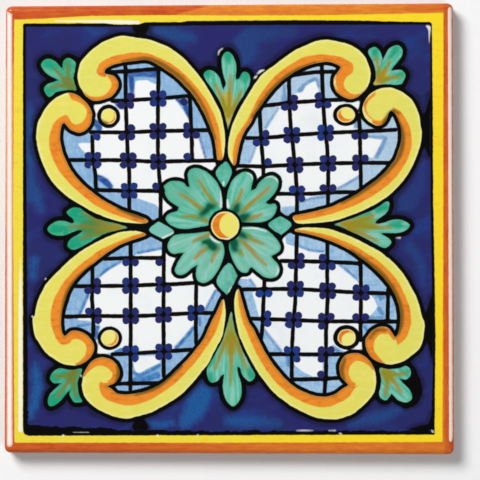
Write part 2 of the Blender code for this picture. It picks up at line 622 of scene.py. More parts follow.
SCROLLS = (
    Scroll(
        TL,
        (57, 63),
        (46, 84.9, 50, 84, 54.1, 82.4, 56.9, 80.7, 59.7, 78.6, 62.1, 76.2, 64.5, 73.4, 65.5, 70.3, 66, 66.9, 65.5, 63.4,
         64.1, 60.7, 62.1, 57.9, 60, 56.5, 57.6, 55.9, 54.5, 56.6, 51, 57.9, 48.6, 60.7, 47.9, 63.1, 48.6, 65.5,
         50.3, 67.2, 53.4, 67.8, 54.1, 68.3),
        (53.8, 70, 51.7, 71.4, 50, 72.1, 46, 73.1, 40.2, 73.8, 34.7, 74.1, 29.2, 71.4, 23, 67.2, 19.5, 64.1, 14, 57.9,
         9.5, 50.3, 6.8, 44, 5, 38.8, 4.2, 34.7, 3.7, 29.9, 3, 29.5, 1.2, 30.2),
        (39.5, 84, 34.7, 83.3, 31.9, 82.4, 25.4, 79.7, 19.5, 75.5, 14.3, 70, 9.5, 63.8, 4.7, 55.5, 2, 49.5, 0.5, 42,
         0.3, 36),
        (53.4, 66.4, 56, 66.8, 57.5, 68.4, 57.3, 70.3, 55.9, 72.8, 53.4, 74.5, 50, 75.9, 46, 76.7, 41.9, 77.4, 37.4, 77.4, 33.3, 76.6,
         25.4, 73.1, 19.2, 68.6, 13.3, 62.4, 8.1, 55.5, 4, 46.9, 2.4, 40, 1.8, 34),
        (53.4, 66.9, 51.7, 65.5, 50.9, 63.4, 51.7, 61, 53.4, 59, 56.2, 57.9, 58.6, 57.8, 61, 58.3, 63.4, 60.2, 65, 62.6, 66, 65),
    ),
    Scroll(
        TL,
        (67, 50.5),
        (84.5, 40.2, 83.8, 46.1, 82.4, 49, 80.7, 52.1, 78.6, 54.8, 75.9, 57.1, 73.1, 58.6, 70, 59.5, 66.9, 58.8,
         64.1, 56.9, 61.4, 54.1, 59.8, 50.7, 59.8, 48.5, 60.3, 45.7, 61.7, 43.7, 63.8, 42.1, 66.2, 41.9, 69, 43,
         70.3, 44.3, 72.1, 46.4),
        (73.1, 45.4, 73.8, 42.6, 74, 38.8, 73.4, 35.4, 72.4, 31.9, 70.7, 28.1, 68.6, 24.3, 65.9, 20.9, 62.4, 17.4,
         59, 14.7, 55.2, 11.9, 51, 9.5, 46.2, 7.1, 40, 5, 36, 3.4, 34.5, 2.2),
        (84.3, 37.8, 83.8, 34.7, 82.8, 31.2, 81.4, 27.4, 79.7, 23.7, 77.6, 20.2, 74.5, 16.8, 70.7, 13.3, 66.9, 10.9,
         63.4, 8.8, 59.3, 6.4, 55.2, 4.7, 51, 3.1, 46.2, 1.9, 40, 1.3, 36, 1.3),
        (69.4, 47.6, 70.8, 49.4, 72.4, 49.4, 74.5, 48.1, 76.6, 46.1, 77.9, 43, 78.8, 39.2, 78.6, 35.4, 77.6, 31.2, 75.9, 27.4, 73.8, 24,
         70.7, 20.2, 66.9, 16.4, 60, 10.6, 55.9, 8.1, 51, 5.7, 46.2, 4, 40, 2, 36, 1.2),
        (70, 58.9, 68.8, 56.6, 65.5, 55.2, 62.8, 53.1, 61.9, 50.3, 63.4, 47.1, 66.2, 45.4, 68.6, 46.1, 69.7, 48.8),
    ),
    Scroll(
        TR,
        (57.5, 63.5),
        (46, 82.9, 50, 82.2, 54.1, 81.2, 57.6, 79.7, 60.3, 77.6, 62.4, 75.2, 63.4, 72.8, 64.5, 69.7, 64.7, 66.9,
         64.1, 63.8, 62.8, 61, 60.3, 58.6, 57.6, 56.9, 54.8, 56.7, 51.7, 58.1, 49.3, 60.3, 48.3, 63.4, 48.6, 66.2,
         50, 68.3, 51.7, 70.7),
        (51, 71.4, 49, 72.4, 45.4, 73.3, 41.9, 72.9, 38.5, 72.1, 34.7, 70.7, 31.2, 69, 28.5, 67.2, 25.7, 65.2,
         23, 62.8, 20.2, 59.7, 17.8, 56.6, 15.4, 53.1, 12.9, 49.6, 11.2, 46.2, 8.1, 41.6, 6.4, 36.8, 5.4, 32.6,
         4.5, 27.8, 3.3, 27.4),
        (42.6, 82.8, 39.2, 81.9, 35.4, 80.3, 31.6, 78.6, 28.5, 76.6, 25, 74.1, 21.9, 71.7, 18.5, 69.3, 15.7, 66.9,
         13, 63.1, 10.2, 58.6, 7.4, 54.1, 5, 49.5, 3, 44.7, 1.8, 40.2, 1.2, 35.7, 1.4, 31.2),
        (54.8, 66.9, 56.6, 68.3, 57.2, 70.3, 56.6, 72.4, 53.4, 74.5, 50, 75.7, 46, 76.2, 42.3, 76.5, 38.5, 76,
         34.7, 75.2, 29.2, 72.1, 23.7, 68.3, 18.5, 62.8, 13.7, 55.5, 9.5, 46.9, 5, 40, 3.2, 33),
        (56.8, 69.4, 55.4, 68, 53.4, 65.2, 52.8, 63.1, 53.8, 60.7, 56.2, 59, 59, 58.8, 61.5, 60.2, 63.6, 62.4),
    ),
    Scroll(
        TR,
        (69, 53),
        (86.9, 45.4, 86.6, 48.6, 85.5, 51.7, 84.1, 54.8, 82.1, 57.2, 79.3, 59.3, 76.6, 60.7, 73.4, 61.6, 70, 61.4,
         66.9, 60.3, 64.1, 58.3, 62.1, 55.5, 61.2, 52.1, 61.7, 49.5, 63.4, 47.1, 65.9, 45.4, 68.3, 44.7, 70.7, 45.7,
         72.1, 47.8, 72.8, 50.2, 73.8, 51.5),
        (75.9, 49.9, 77.2, 47.1, 78.3, 43.7, 78.6, 40.2, 78.3, 36.8, 77.2, 33.3, 75.9, 29.9, 73.4, 26.4, 70.7, 23.3,
         67.2, 20.2, 63.8, 17.8, 60, 15, 55.9, 12.6, 51, 10.2, 46.2, 8.1, 38, 6, 33, 5, 30, 4),
        (87.6, 41.9, 87.4, 38.5, 86.7, 35, 85.5, 31.6, 84.1, 28.1, 82.1, 24.3, 79.7, 20.6, 76.6, 17.1, 73.1, 13.7,
         69, 10.9, 64.8, 8.5, 60.3, 6.4, 55.9, 4.7, 51, 3, 46.2, 1.9, 38, 1.2, 32, 1.2),
        (74.5, 53.1, 77.9, 51.2, 80, 48.5, 81.7, 45.4, 82.8, 41.9, 83.1, 36, 81.7, 30.6, 79.7, 26.8, 77.2, 23,
         74.1, 19.5, 70.7, 16.8, 66.9, 14, 62.8, 11.6, 58.6, 9.5, 53.4, 7.4, 46.2, 5, 38, 3.2, 31, 2.2),
        (66.9, 60.1, 66.9, 58.3, 63.8, 55.5, 62.9, 52.4, 64.1, 49.3, 66.9, 46.9),
        1.3,
    ),
    Scroll(
        BL,
        (57, 66),
        (46, 85.7, 50, 84.8, 53.4, 83.4, 56.9, 81.7, 59.7, 79.7, 62.1, 77.2, 63.4, 74.8, 64.1, 71.4, 63.8, 68.3,
         63.1, 65.5, 61.7, 62.8, 59.7, 60.3, 56.9, 58.8, 54.5, 58.6, 51.7, 59.3, 49.3, 61, 47.6, 63.8, 47.4, 66.6,
         48.6, 69, 50.3, 70.3, 53.8, 71.6),
        (51.7, 72.1, 50, 73.4, 48.3, 74.8, 44.3, 75.2, 40.2, 74.7, 36.1, 73.8, 32.6, 72.4, 29.2, 70.7, 26.4, 68.6,
         23.7, 66.2, 20.9, 63.4, 17.4, 60, 14.7, 56.9, 11.9, 53.4, 9.5, 50, 7.8, 46.1, 5.7, 41.6, 4, 38.5, 2.3, 34.7,
         0.9, 32.6),
        (43, 85.8, 40.2, 85, 36.1, 84, 32.6, 82.8, 29.2, 81, 25.7, 79, 22.3, 76.9, 19.2, 74.5, 16.1, 71.4,
         13.3, 68.3, 10.6, 64.8, 7.8, 61.4, 5.7, 57.2, 3.7, 53.4, 1.6, 49.3, 0.2, 41.9, 0.1, 37),
        (55.9, 69.5, 56.4, 70.7, 56.2, 73.1, 55.2, 75.5, 52.8, 77.6, 50, 78.6, 46, 79.7, 41.9, 80, 37.8, 79.1,
         34, 77.6, 30.2, 75.5, 24, 71.4, 18.1, 65.9, 12.3, 59.3, 6.8, 51.4, 4.3, 46.9, 2.2, 41, 1.2, 36),
        (53.4, 69.3, 51.4, 68.3, 50.5, 66.2, 51.7, 64.1, 54.1, 62.6, 56.9, 62.4, 59.3, 63.4, 61.4, 65.2, 63.1, 67.2),
    ),
    Scroll(
        BL,
        (68.5, 55),
        (86, 43.7, 85.2, 48.6, 83.4, 51.7, 81.4, 54.8, 79.3, 57.2, 76.6, 59, 74.1, 60.7, 71.4, 61.7, 67.9, 62.1,
         65.2, 61.7, 62.4, 60.3, 60.3, 58.3, 58.8, 55.2, 59, 52.6, 60.3, 50.3, 62.4, 48.3, 65.5, 46.9, 69, 46.9,
         71.9, 49.5),
        (73.1, 47.1, 73.6, 43.7, 73.4, 40.2, 72.8, 36.8, 71.7, 33.3, 70.3, 29.2, 68.3, 25.7, 66.2, 23, 62.8, 19.5,
         59.3, 16.8, 55.5, 13.7, 51, 10.6, 46.2, 7.8, 40, 5.6, 35.5, 3.8),
        (86.2, 40.6, 86.2, 40.6, 85.2, 39.9, 84.8, 37.4, 83.8, 33.3, 82.1, 29.5, 80, 25.7, 77.2, 22.6, 74.5, 19.9,
         71.4, 16.8, 67.9, 13.7, 64.1, 10.9, 60, 8.5, 55.5, 6.1, 50.7, 4, 46.2, 2.6, 40, 2.2),
        (72.4, 53.3, 74.5, 51.7, 76.2, 49, 77.9, 43.7, 78.1, 39.5, 77.6, 36.1, 76.6, 32.6, 74.8, 29.2, 72.8, 25.7,
         70.3, 22.6, 67.6, 19.5, 64.1, 16.4, 60.3, 13.7, 56.6, 10.9, 52.4, 8.8, 46.2, 6.1, 40, 3.8, 36.5, 3),
        (67.2, 61.6, 64.1, 59.3, 62.4, 56.6, 62.2, 53.8, 63.8, 51.4, 66.6, 50.3, 69.3, 51, 70.7, 52.8),
    ),
    Scroll(
        BR,
        (60, 65),
        (46, 86.2, 50, 86.2, 53.1, 85.3, 56.6, 84, 59.7, 81.7, 62.4, 79.3, 64.8, 76.6, 66.6, 73.8, 67.2, 70.3,
         67.2, 67.9, 66.6, 64.5, 65.2, 61.7, 63.4, 59.3, 61, 57.6, 58.6, 56.9, 55.5, 57.1, 53.1, 58.3, 51.4, 61,
         50.9, 63.8, 51.7, 67.2, 53.8, 69.7, 55.2, 71),
        (52.1, 72.8, 50, 74.5, 48.8, 75.2, 45.4, 76.2, 41.9, 76.2, 38.5, 75.5, 35, 74.1, 31.6, 72.4, 28.5, 70,
         25.7, 67.2, 23, 64.1, 20.6, 61, 18.1, 57.2, 16.1, 53.4, 14, 49.3, 12.6, 46.2, 10.2, 42.6, 8.5, 37.4,
         7.1, 32.6, 5.7, 28),
        (43.7, 86.1, 39.5, 85.2, 35.4, 83.4, 31.9, 81.7, 28.8, 80, 25.7, 77.6, 22.6, 75.2, 20.2, 72.8, 17.8, 69.7,
         15.4, 66.6, 13, 62.8, 10.9, 59, 8.8, 54.8, 7.1, 51, 6.1, 48.8, 4.7, 41.9, 4, 36.8, 4.2, 31.6),
        (59.5, 71.4, 57.9, 72.4, 56.9, 73.8, 55.5, 75.9, 52.8, 77.9, 50, 79.3, 47.1, 80.5, 43, 81, 39.2, 80.3,
         35.4, 79, 31.9, 77.2, 28.8, 75.5, 23, 70.3, 17.8, 63.8, 13.3, 55.9, 9.5, 47.2, 6.8, 40, 5.6, 33),
        (58.6, 70.3, 56.6, 69.3, 55.2, 66.9, 55.2, 63.8, 56.6, 61.4, 58.6, 60.3, 61.7, 61, 64.4, 62.8, 66.6, 65.2),
    ),
    Scroll(
        BR,
        (71, 54.5),
        (88.8, 43.3, 88.8, 46, 88.3, 50, 87.6, 52.8, 86.2, 55.2, 83.4, 57.6, 80.7, 59.7, 77.9, 61, 73.8, 61.9,
         70, 61.2, 66.9, 60, 64.5, 57.9, 62.8, 54.5, 62.6, 51, 63.4, 49.5, 65.2, 47.1, 67.9, 45.4, 70.7, 45,
         73.1, 46.1, 74.5, 48.1, 75.9, 50.2),
        (77.2, 47.8, 77.9, 44.3, 78.1, 40.2, 77.6, 36.4, 76.6, 33, 75.2, 29.9, 73.1, 26.4, 70.3, 23, 67.2, 19.9,
         63.8, 16.8, 60, 14, 56.2, 11.2, 51.7, 8.8, 46.2, 6.4, 38, 3.8, 31, 2.3),
        (87.6, 40.2, 86.6, 36.1, 85.2, 31.9, 83.4, 28.5, 81, 24, 78.6, 20.6, 75.9, 17.4, 72.4, 14.3, 68.3, 11.2,
         64.5, 9.2, 60, 6.8, 55.5, 4.7, 51, 3, 46.2, 1.4, 38, 0.8, 33, 1.1),
        (76.6, 53.3, 79.3, 51.6, 81.4, 48.8, 82.8, 44.3, 82.8, 40.2, 82.1, 36.1, 80.7, 32.3, 79, 28.5, 76.9, 24.7,
         74.1, 21.2, 70.7, 17.8, 66.9, 14.7, 63.1, 12.3, 59.3, 9.9, 55.2, 7.8, 46.2, 4.3, 38, 2.4, 32, 1.6),
        (71.6, 61.5, 69.3, 59.4, 66.9, 56.6, 66.2, 53.4, 66.9, 50.7, 69.3, 48.3, 72.4, 48.6),
    ),
)

AMBER_STROKES = (
    Stroke((66.2, 46.4, 0.7, 69.2, 45.8, 1.1, 71.8, 47.6, 0.8), Quarter.TOP_RIGHT),
    Stroke((50.4, 69.4, 0.8, 53, 70.6, 0.8, 55.4, 70.4, 0.5), Quarter.BOTTOM_LEFT),
    Stroke((69.2, 48.6, 1, 70.6, 50.8, 1.7, 72.6, 51.2, 1.7), Quarter.BOTTOM_LEFT),
    Stroke((70.6, 46, 0.6, 72.4, 46.7, 0.9, 74, 48, 1.1, 75.4, 50, 1.1), Quarter.BOTTOM_RIGHT),
    Stroke((68.6, 43.6, 0.6, 70.4, 45.2, 0.8, 72, 47, 0.8), Quarter.TOP_LEFT),
)

BALLS = (
    (Quarter.TOP_LEFT, 52.2, 49.0, 3.4, 3.5, 5.2, -0.4, 0.5),
    (Quarter.TOP_RIGHT, 53.8, 49.5, 4.0, 3.4, 5.9, 1.3, 1.1),
    (Quarter.BOTTOM_LEFT, 51.7, 50.0, 3.9, 3.7, 5.6, -0.8, 0.6),
    (Quarter.BOTTOM_RIGHT, 54.1, 49.8, 4.05, 3.7, 6.1, 1.3, -1.1),
)

LEAVES = (
    Leaf(
        (1.2, 43.3, -0.7, 51, -2.5, 55.3, -5, 59.7, -7.5, 63.3, -9.8, 67.3, -8.5, 69.3, -6.3, 69.5, -4.3, 68.2,
         -2.7, 66, -1.8, 63.3, -1.1, 60.6, -1.1, 60.6, -0.3, 62, 0.2, 64, -0.7, 66.3, -1.3, 69.3, -1.8, 72.7,
         -1.5, 75.3, -0.3, 77.2, 1.2, 77.7, 2.7, 76.7, 4, 74.3, 4.7, 71.7, 4.7, 69, 4.4, 65.2, 4.4, 65.2, 6, 65.7,
         7.3, 68, 8.7, 68.8, 10.3, 68, 11, 66, 10.7, 63.3, 9.7, 61.3, 8, 58.3, 6.3, 55.7, 4.3, 52, 2.7, 48.3,
         1.5, 44.3),
        ((-4.5, 63, -2.7, 59.3, -0.7, 54.3, 0.3, 51.3), (2.3, 67.3, 2.2, 62.7, 1.7, 56, 1.3, 49.3),
         (7, 60.3, 5.3, 56, 3, 51.3)),
    ),
    Leaf(
        (2.6, -38.1, 1.2, -42.6, 0.2, -46.1, -1.2, -50.6, -3.2, -54.7, -5.7, -59.2, -7.7, -62.6, -8.3, -65,
         -7.9, -67.8, -6.7, -69.5, -5, -69.7, -3.2, -68.8, -2.2, -67.1, -0.8, -65.9, -0.8, -65.9, -0.7, -67.1,
         -1.1, -69.9, -1.1, -72.6, -0.5, -75.7, 0.9, -78.5, 3, -80.4, 4.7, -79.7, 6.4, -77.4, 7.1, -74.7, 7.1, -71.6,
         6.6, -68.8, 5.6, -66.1, 5.1, -62.6, 5.1, -62.6, 6.4, -63.3, 7.4, -66.1, 8.8, -68.1, 10.6, -69.3, 12.3, -68.5,
         13.2, -66.6, 12.3, -64.7, 10.6, -61.6, 8.8, -58.1, 7.1, -54.7, 5.7, -50.6, 4.3, -46.8, 3.3, -42.3),
        ((-4.6, -63.7, -2.6, -58.1, -0.8, -53.3, 1.2, -49.5), (2.2, -70.6, 2.4, -63.3, 2.6, -54.7, 2.4, -47.8),
         (9, -63.3, 7.8, -59.5, 6.1, -54.7, 4, -49.9)),
    ),
    Leaf(
        (-43.7, -0.7, -47.3, 0.7, -50.3, 1.5, -54.7, 2.5, -58, 3.5, -60.7, 5, -63, 6.5, -65, 8, -67.3, 8.4,
         -69.7, 7.5, -71, 6.3, -70, 4.8, -68.3, 3.5, -67.3, 1.7, -67.3, 1.7, -68.7, 1.3, -70.7, 2, -73, 2.5,
         -75.3, 2.2, -78, 0.8, -79.5, -1.2, -78.3, -3, -76.3, -4, -73.7, -4.2, -70.7, -3.7, -68, -2.5, -65.3, -1.7,
         -63.3, -2, -63.3, -2, -66.3, -4, -68.7, -5.3, -70.3, -7.3, -70.3, -9.3, -68, -10.5, -65.3, -9.7,
         -62.7, -8.3, -58.7, -6, -54.7, -3.7, -50.3, -2.3, -46.3, -1.3),
        ((-64, 5.7, -59.7, 3.7, -54.7, 1.3), (-69.7, -0.2, -63, 0, -56.3, -0.7, -48, -0.7),
         (-64.3, -5.7, -59.7, -4, -54.7, -2)),
    ),
    Leaf(
        (48.5, 0.6, 52, 1.8, 56.7, 3.3, 61.3, 5.2, 65.3, 6.8, 68.7, 8.7, 71.3, 10.5, 72.7, 10.8, 73.2, 9.7,
         72.8, 7.7, 72, 6, 70, 4.3, 68, 2.8, 66.5, 1.3, 66.5, 1.3, 68, 0.8, 70.7, 1.3, 73.3, 2.3, 76.3, 2.8,
         79.3, 2.3, 81.7, 1, 82.2, 0, 81, -1.7, 78.7, -2.8, 75.7, -3.3, 72.3, -3.2, 69, -3.1, 69, -3.1, 70, -4,
         72.3, -5.2, 74, -7, 73.3, -8.7, 71.3, -9.8, 69, -9.2, 66.3, -7.7, 63.3, -6, 59.3, -4, 55.3, -2.2,
         51.3, -0.3),
        ((66.3, 4.7, 63, 3, 58, 1.3, 53, 0.7), (73.7, -0.8, 68, -0.7, 61.3, 0, 54.7, 0),
         (68, -7, 64.7, -5.3, 59.7, -3, 54.7, -1)),
    ),
    Leaf(
        (82.4, 72.4, 79.7, 74.7, 75.9, 73.4, 72.4, 69.5, 72.4, 69.5, 72.8, 71.8, 72.2, 73.8, 70.7, 75, 68.5, 74.4,
         66.9, 72.8, 67.4, 69, 67.9, 65.5, 66.6, 60.7, 69.5, 60.9, 73.8, 60.3, 75.9, 59.7, 78.6, 57.6, 80.3, 59.3,
         81, 61.7, 79.8, 63.2, 77.9, 64, 74.1, 65.2, 74.1, 65.2, 77.9, 66.9, 80.7, 69),
        ((76, 70, 72.5, 66, 69, 62), (70.5, 73, 70.2, 67.5, 69, 62), (78, 62, 74, 62.8, 70, 62.5)),
        Quarter.TOP_LEFT,
    ),
    Leaf(
        (79, 77.9, 78.2, 79.8, 76.2, 80.5, 73.1, 79, 71, 75.5, 69.5, 71.6, 69.5, 71.6, 69.8, 75, 69, 77.6, 67.8, 79.2,
         66.2, 79.7, 64.4, 78.8, 63.8, 77.2, 65.5, 73.8, 66.9, 69.7, 67.1, 65.5, 66, 62.8, 71, 63.2, 77.6, 62.9,
         79.6, 64.8, 80.3, 67.2, 79.3, 68.9, 77.6, 69.5, 73.6, 69.1, 73.6, 69.1, 76.2, 72.4, 78.4, 75.2),
        ((73.4, 73.4, 71.6, 70, 69, 65), (66.9, 75, 68.2, 71, 68.5, 65), (78, 66.3, 74, 66, 70, 64.6)),
        Quarter.TOP_RIGHT,
    ),
    Leaf(
        (79.3, 77.9, 79, 79.6, 77.6, 80.3, 74.5, 78.6, 72.1, 75.9, 69.3, 72.4, 69.3, 72.4, 69.6, 75, 68.8, 76.9,
         67.6, 78.4, 65.9, 78.6, 64, 78.3, 65.2, 75.9, 65.9, 72.4, 66, 69, 64.1, 63.8, 69, 64.2, 74.1, 63.4,
         77.2, 65.2, 78.3, 67.6, 77.6, 69.2, 76.2, 70, 72.8, 69.8, 72.8, 69.8, 75.9, 72.4, 78.6, 75.2),
        ((75, 76, 71, 70.5, 67.5, 65.5), (66.8, 75.5, 67.8, 70.5, 67.3, 65.5), (76, 67, 72, 66.8, 68.5, 65.2)),
        Quarter.BOTTOM_LEFT,
    ),
    Leaf(
        (83.3, 76.2, 82.6, 78, 80.3, 78.8, 77.2, 77.9, 75.5, 76.2, 74.1, 74.7, 74.1, 74.7, 73.3, 76.2, 71.7, 77.8,
         69.6, 77.2, 68.6, 75.2, 69.3, 71.7, 69.5, 67.9, 68.8, 63.6, 73, 64, 77.6, 63.6, 80.3, 62.6, 82, 63.4,
         82.8, 65.5, 82, 67.6, 80.3, 68.6, 77.2, 67.9, 77.2, 67.9, 79.3, 70.3, 82.1, 73.1),
        ((78.5, 74.5, 75, 69.5, 71.5, 65.5), (71.5, 75, 72.2, 70, 71, 65.5), (80, 65.8, 76, 66.4, 72.4, 65.2)),
        Quarter.BOTTOM_RIGHT,
    ),
)

PETALS = (
    Leaf(
        (-1.75, 8.7, -1.6, 12.3, -2.3, 16.2, -4.1, 19.8, -6.6, 22.6, -9.4, 24.6, -12.6, 25.8, -15.5, 25.3,
         -16.9, 23.4, -16.6, 20.9, -16, 17.4, -16, 17.4, -17.3, 17.6, -18.7, 19.25, -21.2, 20.1, -24.4, 20,
         -26.6, 18.7, -27.6, 17.6, -26.9, 16.2, -27, 14.4, -25.9, 12.3, -24.1, 10.5, -20.9, 8.6, -20.9, 8.6,
         -21.6, 6.75, -24.4, 5.9, -26.2, 4.6, -26.75, 3, -25.1, 0.9, -22.3, -0.6, -18.7, -1.3, -14.4, -0.9,
         -10.9, -0.2, -8, 0.3, -3, 3),
        ((-11.75, 20.3, -9.4, 16.2, -6.9, 12.6, -4.8, 9.8), (-20.3, 14.6, -16.2, 11.9, -12.6, 9.1, -9.4, 6.6),
         (-19.4, 4.1, -15.1, 4.4, -11.2, 3.4, -8.7, 2.5)),
    ),
    Leaf(
        (0.75, 8.2, 0.6, 11.9, 1.1, 15.5, 2.4, 19.1, 4.1, 21.6, 6.6, 23.5, 9.1, 24.1, 11.3, 23.4, 12.4, 21.2,
         11.8, 18.7, 11.3, 15.8, 11.3, 15.8, 13.4, 16.6, 14.9, 19.1, 17.4, 21.4, 20.2, 22.5, 22.4, 21.9, 23.6, 20.1,
         23.4, 17.6, 22, 14.8, 19.9, 12.3, 17.8, 10.3, 17.8, 10.3, 19.9, 9.6, 22, 10, 22.9, 8.7, 22.5, 6.6,
         21.3, 4.4, 19.1, 2.6, 15.6, 1.6, 11.3, 1.6, 7.7, 1.75, 3, 3),
        ((19.5, 17.3, 14.9, 13, 10.6, 9.4, 7, 6.2), (7.4, 16.2, 5.9, 12.3, 4.1, 8.7), (15.9, 5.1, 9.9, 3)),
    ),
    Leaf(
        (-8, -2.5, -12.3, -3.1, -16.2, -3.4, -20.1, -3.6, -23, -4.3, -25, -6.3, -25.9, -9.1, -25.1, -11.3,
         -23, -12.4, -20.5, -12, -18.5, -11.9, -18.5, -11.9, -20.5, -14.9, -21.9, -17.4, -22.6, -19.9, -21.6, -21.5,
         -19.4, -21.8, -17.3, -20.75, -15.1, -18.8, -12.5, -17.2, -12.5, -17.2, -13, -19.5, -13.2, -22, -12.3, -24.5,
         -10.1, -25.4, -7.6, -24.7, -5.1, -22.4, -3, -19.1, -1.4, -15.6, -0.6, -12, -0.9, -8.8, -1.6, -7.2,
         -3, -3),
        ((-14.4, -6.8, -11.2, -5.2, -7.5, -4.1), (-13.7, -14.5, -10.9, -11.6, -7.6, -9.1),
         (-6.2, -15.9, -4.8, -12.4, -3.4, -9.9)),
    ),
    Leaf(
        (7.2, -0.6, 11.3, -0.3, 14.9, -0.75, 18.1, -1.6, 20.9, -3.8, 23.1, -6.3, 24.5, -8.8, 24.3, -10.9,
         22.4, -12.4, 20, -13.5, 20, -13.5, 21.6, -15.2, 23.4, -17, 24.1, -19.5, 23.4, -22, 21.3, -23.25,
         18.4, -23.1, 15.6, -21.6, 11.6, -18.25, 11.6, -18.25, 10.6, -19.1, 10, -20.6, 8.4, -20.9, 6.3, -20,
         4.5, -17.7, 3.1, -14.9, 2, -11.6, 1.5, -8.4, 2, -7.2, 3, -3),
        ((18.1, -17.4, 14.1, -13.8, 10.2, -9.5, 6.3, -5.9), (17, -8.1, 13.1, -6.6, 9.1, -4.1),
         (7.7, -13.1, 6.3, -11.3)),
    ),
)

DIAMONDS = (
    (-4.4, 23.9, -0.7, 28.3, 0.8, 28.3, 2.8, 23.9, 0.4, 18.5, -0.7, 17.3, -1.8, 18.8),
    (19, 0.5, 24, 4.1, 25, 4.1, 29.5, 0.6, 25.2, -3.7, 24.4, -3.7),
    (1.3, -16.5, 4.9, -21.4, 5, -23, 1.2, -30, 0, -30, -4.1, -24.5),
    (-23, -2.5, -29.3, 1.7, -30.5, 1.7, -34.2, -1.9, -28.5, -5.4, -27.2, -5.4),
)

DEEP_GREEN = (
    Stroke((-5.2, 8.8, 0.9, -7.2, 8.6, 1.6, -8.8, 6.6, 1.3, -10.8, 5.2, 1.1)),
    Stroke((4.6, 7.2, 1.7, 5.4, 9, 1)),
    Stroke((7.9, 3.6, 2, 9.8, 4.4, 1)),
    Stroke((-9.8, -7.2, 0.9, -7.4, -7.4, 1.6, -5.6, -9.2, 1.8, -4.2, -9.6, 0.9)),
    Stroke((3.7, -7.4, 2, 4.2, -10.2, 1.4)),
    Stroke((7.1, -3.9, 1.5, 9, -4.9, 0.8)),
)

TIPS = (
    Stroke((-8.5, 69, 2, -7.6, 67.6, 1.2)),
    Stroke((-6.8, -68.4, 1.6, -6.6, -66, 1)),
    Stroke((-76.6, -1, 1.8, -72.6, -1, 1.2)),
    Stroke((-68, 4.6, 2.4, -62, 2.4, 1.6, -56, 1, 0.8)),
    Stroke((-68, -7, 2, -61, -4.6, 1.4)),
    Stroke((64, 5, 1.6, 58, 2.8, 1)),
    Stroke((-68.6, -8.8, 1.6, -65, -7.6, 1)),
    Stroke((71, 73.4, 1.2, 70.4, 70.4, 0.8), Quarter.TOP_LEFT),
    Stroke((79, 60, 1.6, 76, 61.6, 1.1), Quarter.TOP_LEFT),
    Stroke((66.4, 78, 1.4, 67.6, 74.4, 0.9), Quarter.TOP_RIGHT),
    Stroke((78.6, 67.2, 1.2, 76, 67.2, 0.9), Quarter.TOP_RIGHT),
    Stroke((71.4, 75.8, 1.2, 71.8, 72.6, 0.8), Quarter.BOTTOM_RIGHT),
    Stroke((81, 65.6, 1.2, 78.4, 66, 0.9), Quarter.BOTTOM_RIGHT),
    Stroke((8.7, 67.3, 2.5, 8.6, 65, 1.4)),
    Stroke((1, 76, 2, 1.2, 73.6, 1)),
    Stroke((11.6, -66.5, 1.9, 10.4, -64.4, 1.2)),
    Stroke((-5.9, -58.4, 0.9, -7, -62, 1)),
    Stroke((-67.5, 7, 1.7, -64.8, 6.8, 1.2)),
    Stroke((71, 8.6, 1.9, 68, 6.6, 1.2)),
    Stroke((77, 0.5, 2, 73.6, 0.4, 1)),
    Stroke((79.5, 72.4, 1.7, 77, 71, 1), Quarter.TOP_LEFT),
    Stroke((76, 78.4, 1.9, 74, 75.6, 1), Quarter.TOP_RIGHT),
    Stroke((77, 78.2, 2.3, 73, 74.4, 2), Quarter.BOTTOM_LEFT),
    Stroke((66, 76.6, 1.6, 67.4, 72, 1.2), Quarter.BOTTOM_LEFT),
    Stroke((76.6, 67.4, 1.8, 72, 66.4, 1.2), Quarter.BOTTOM_LEFT),
)

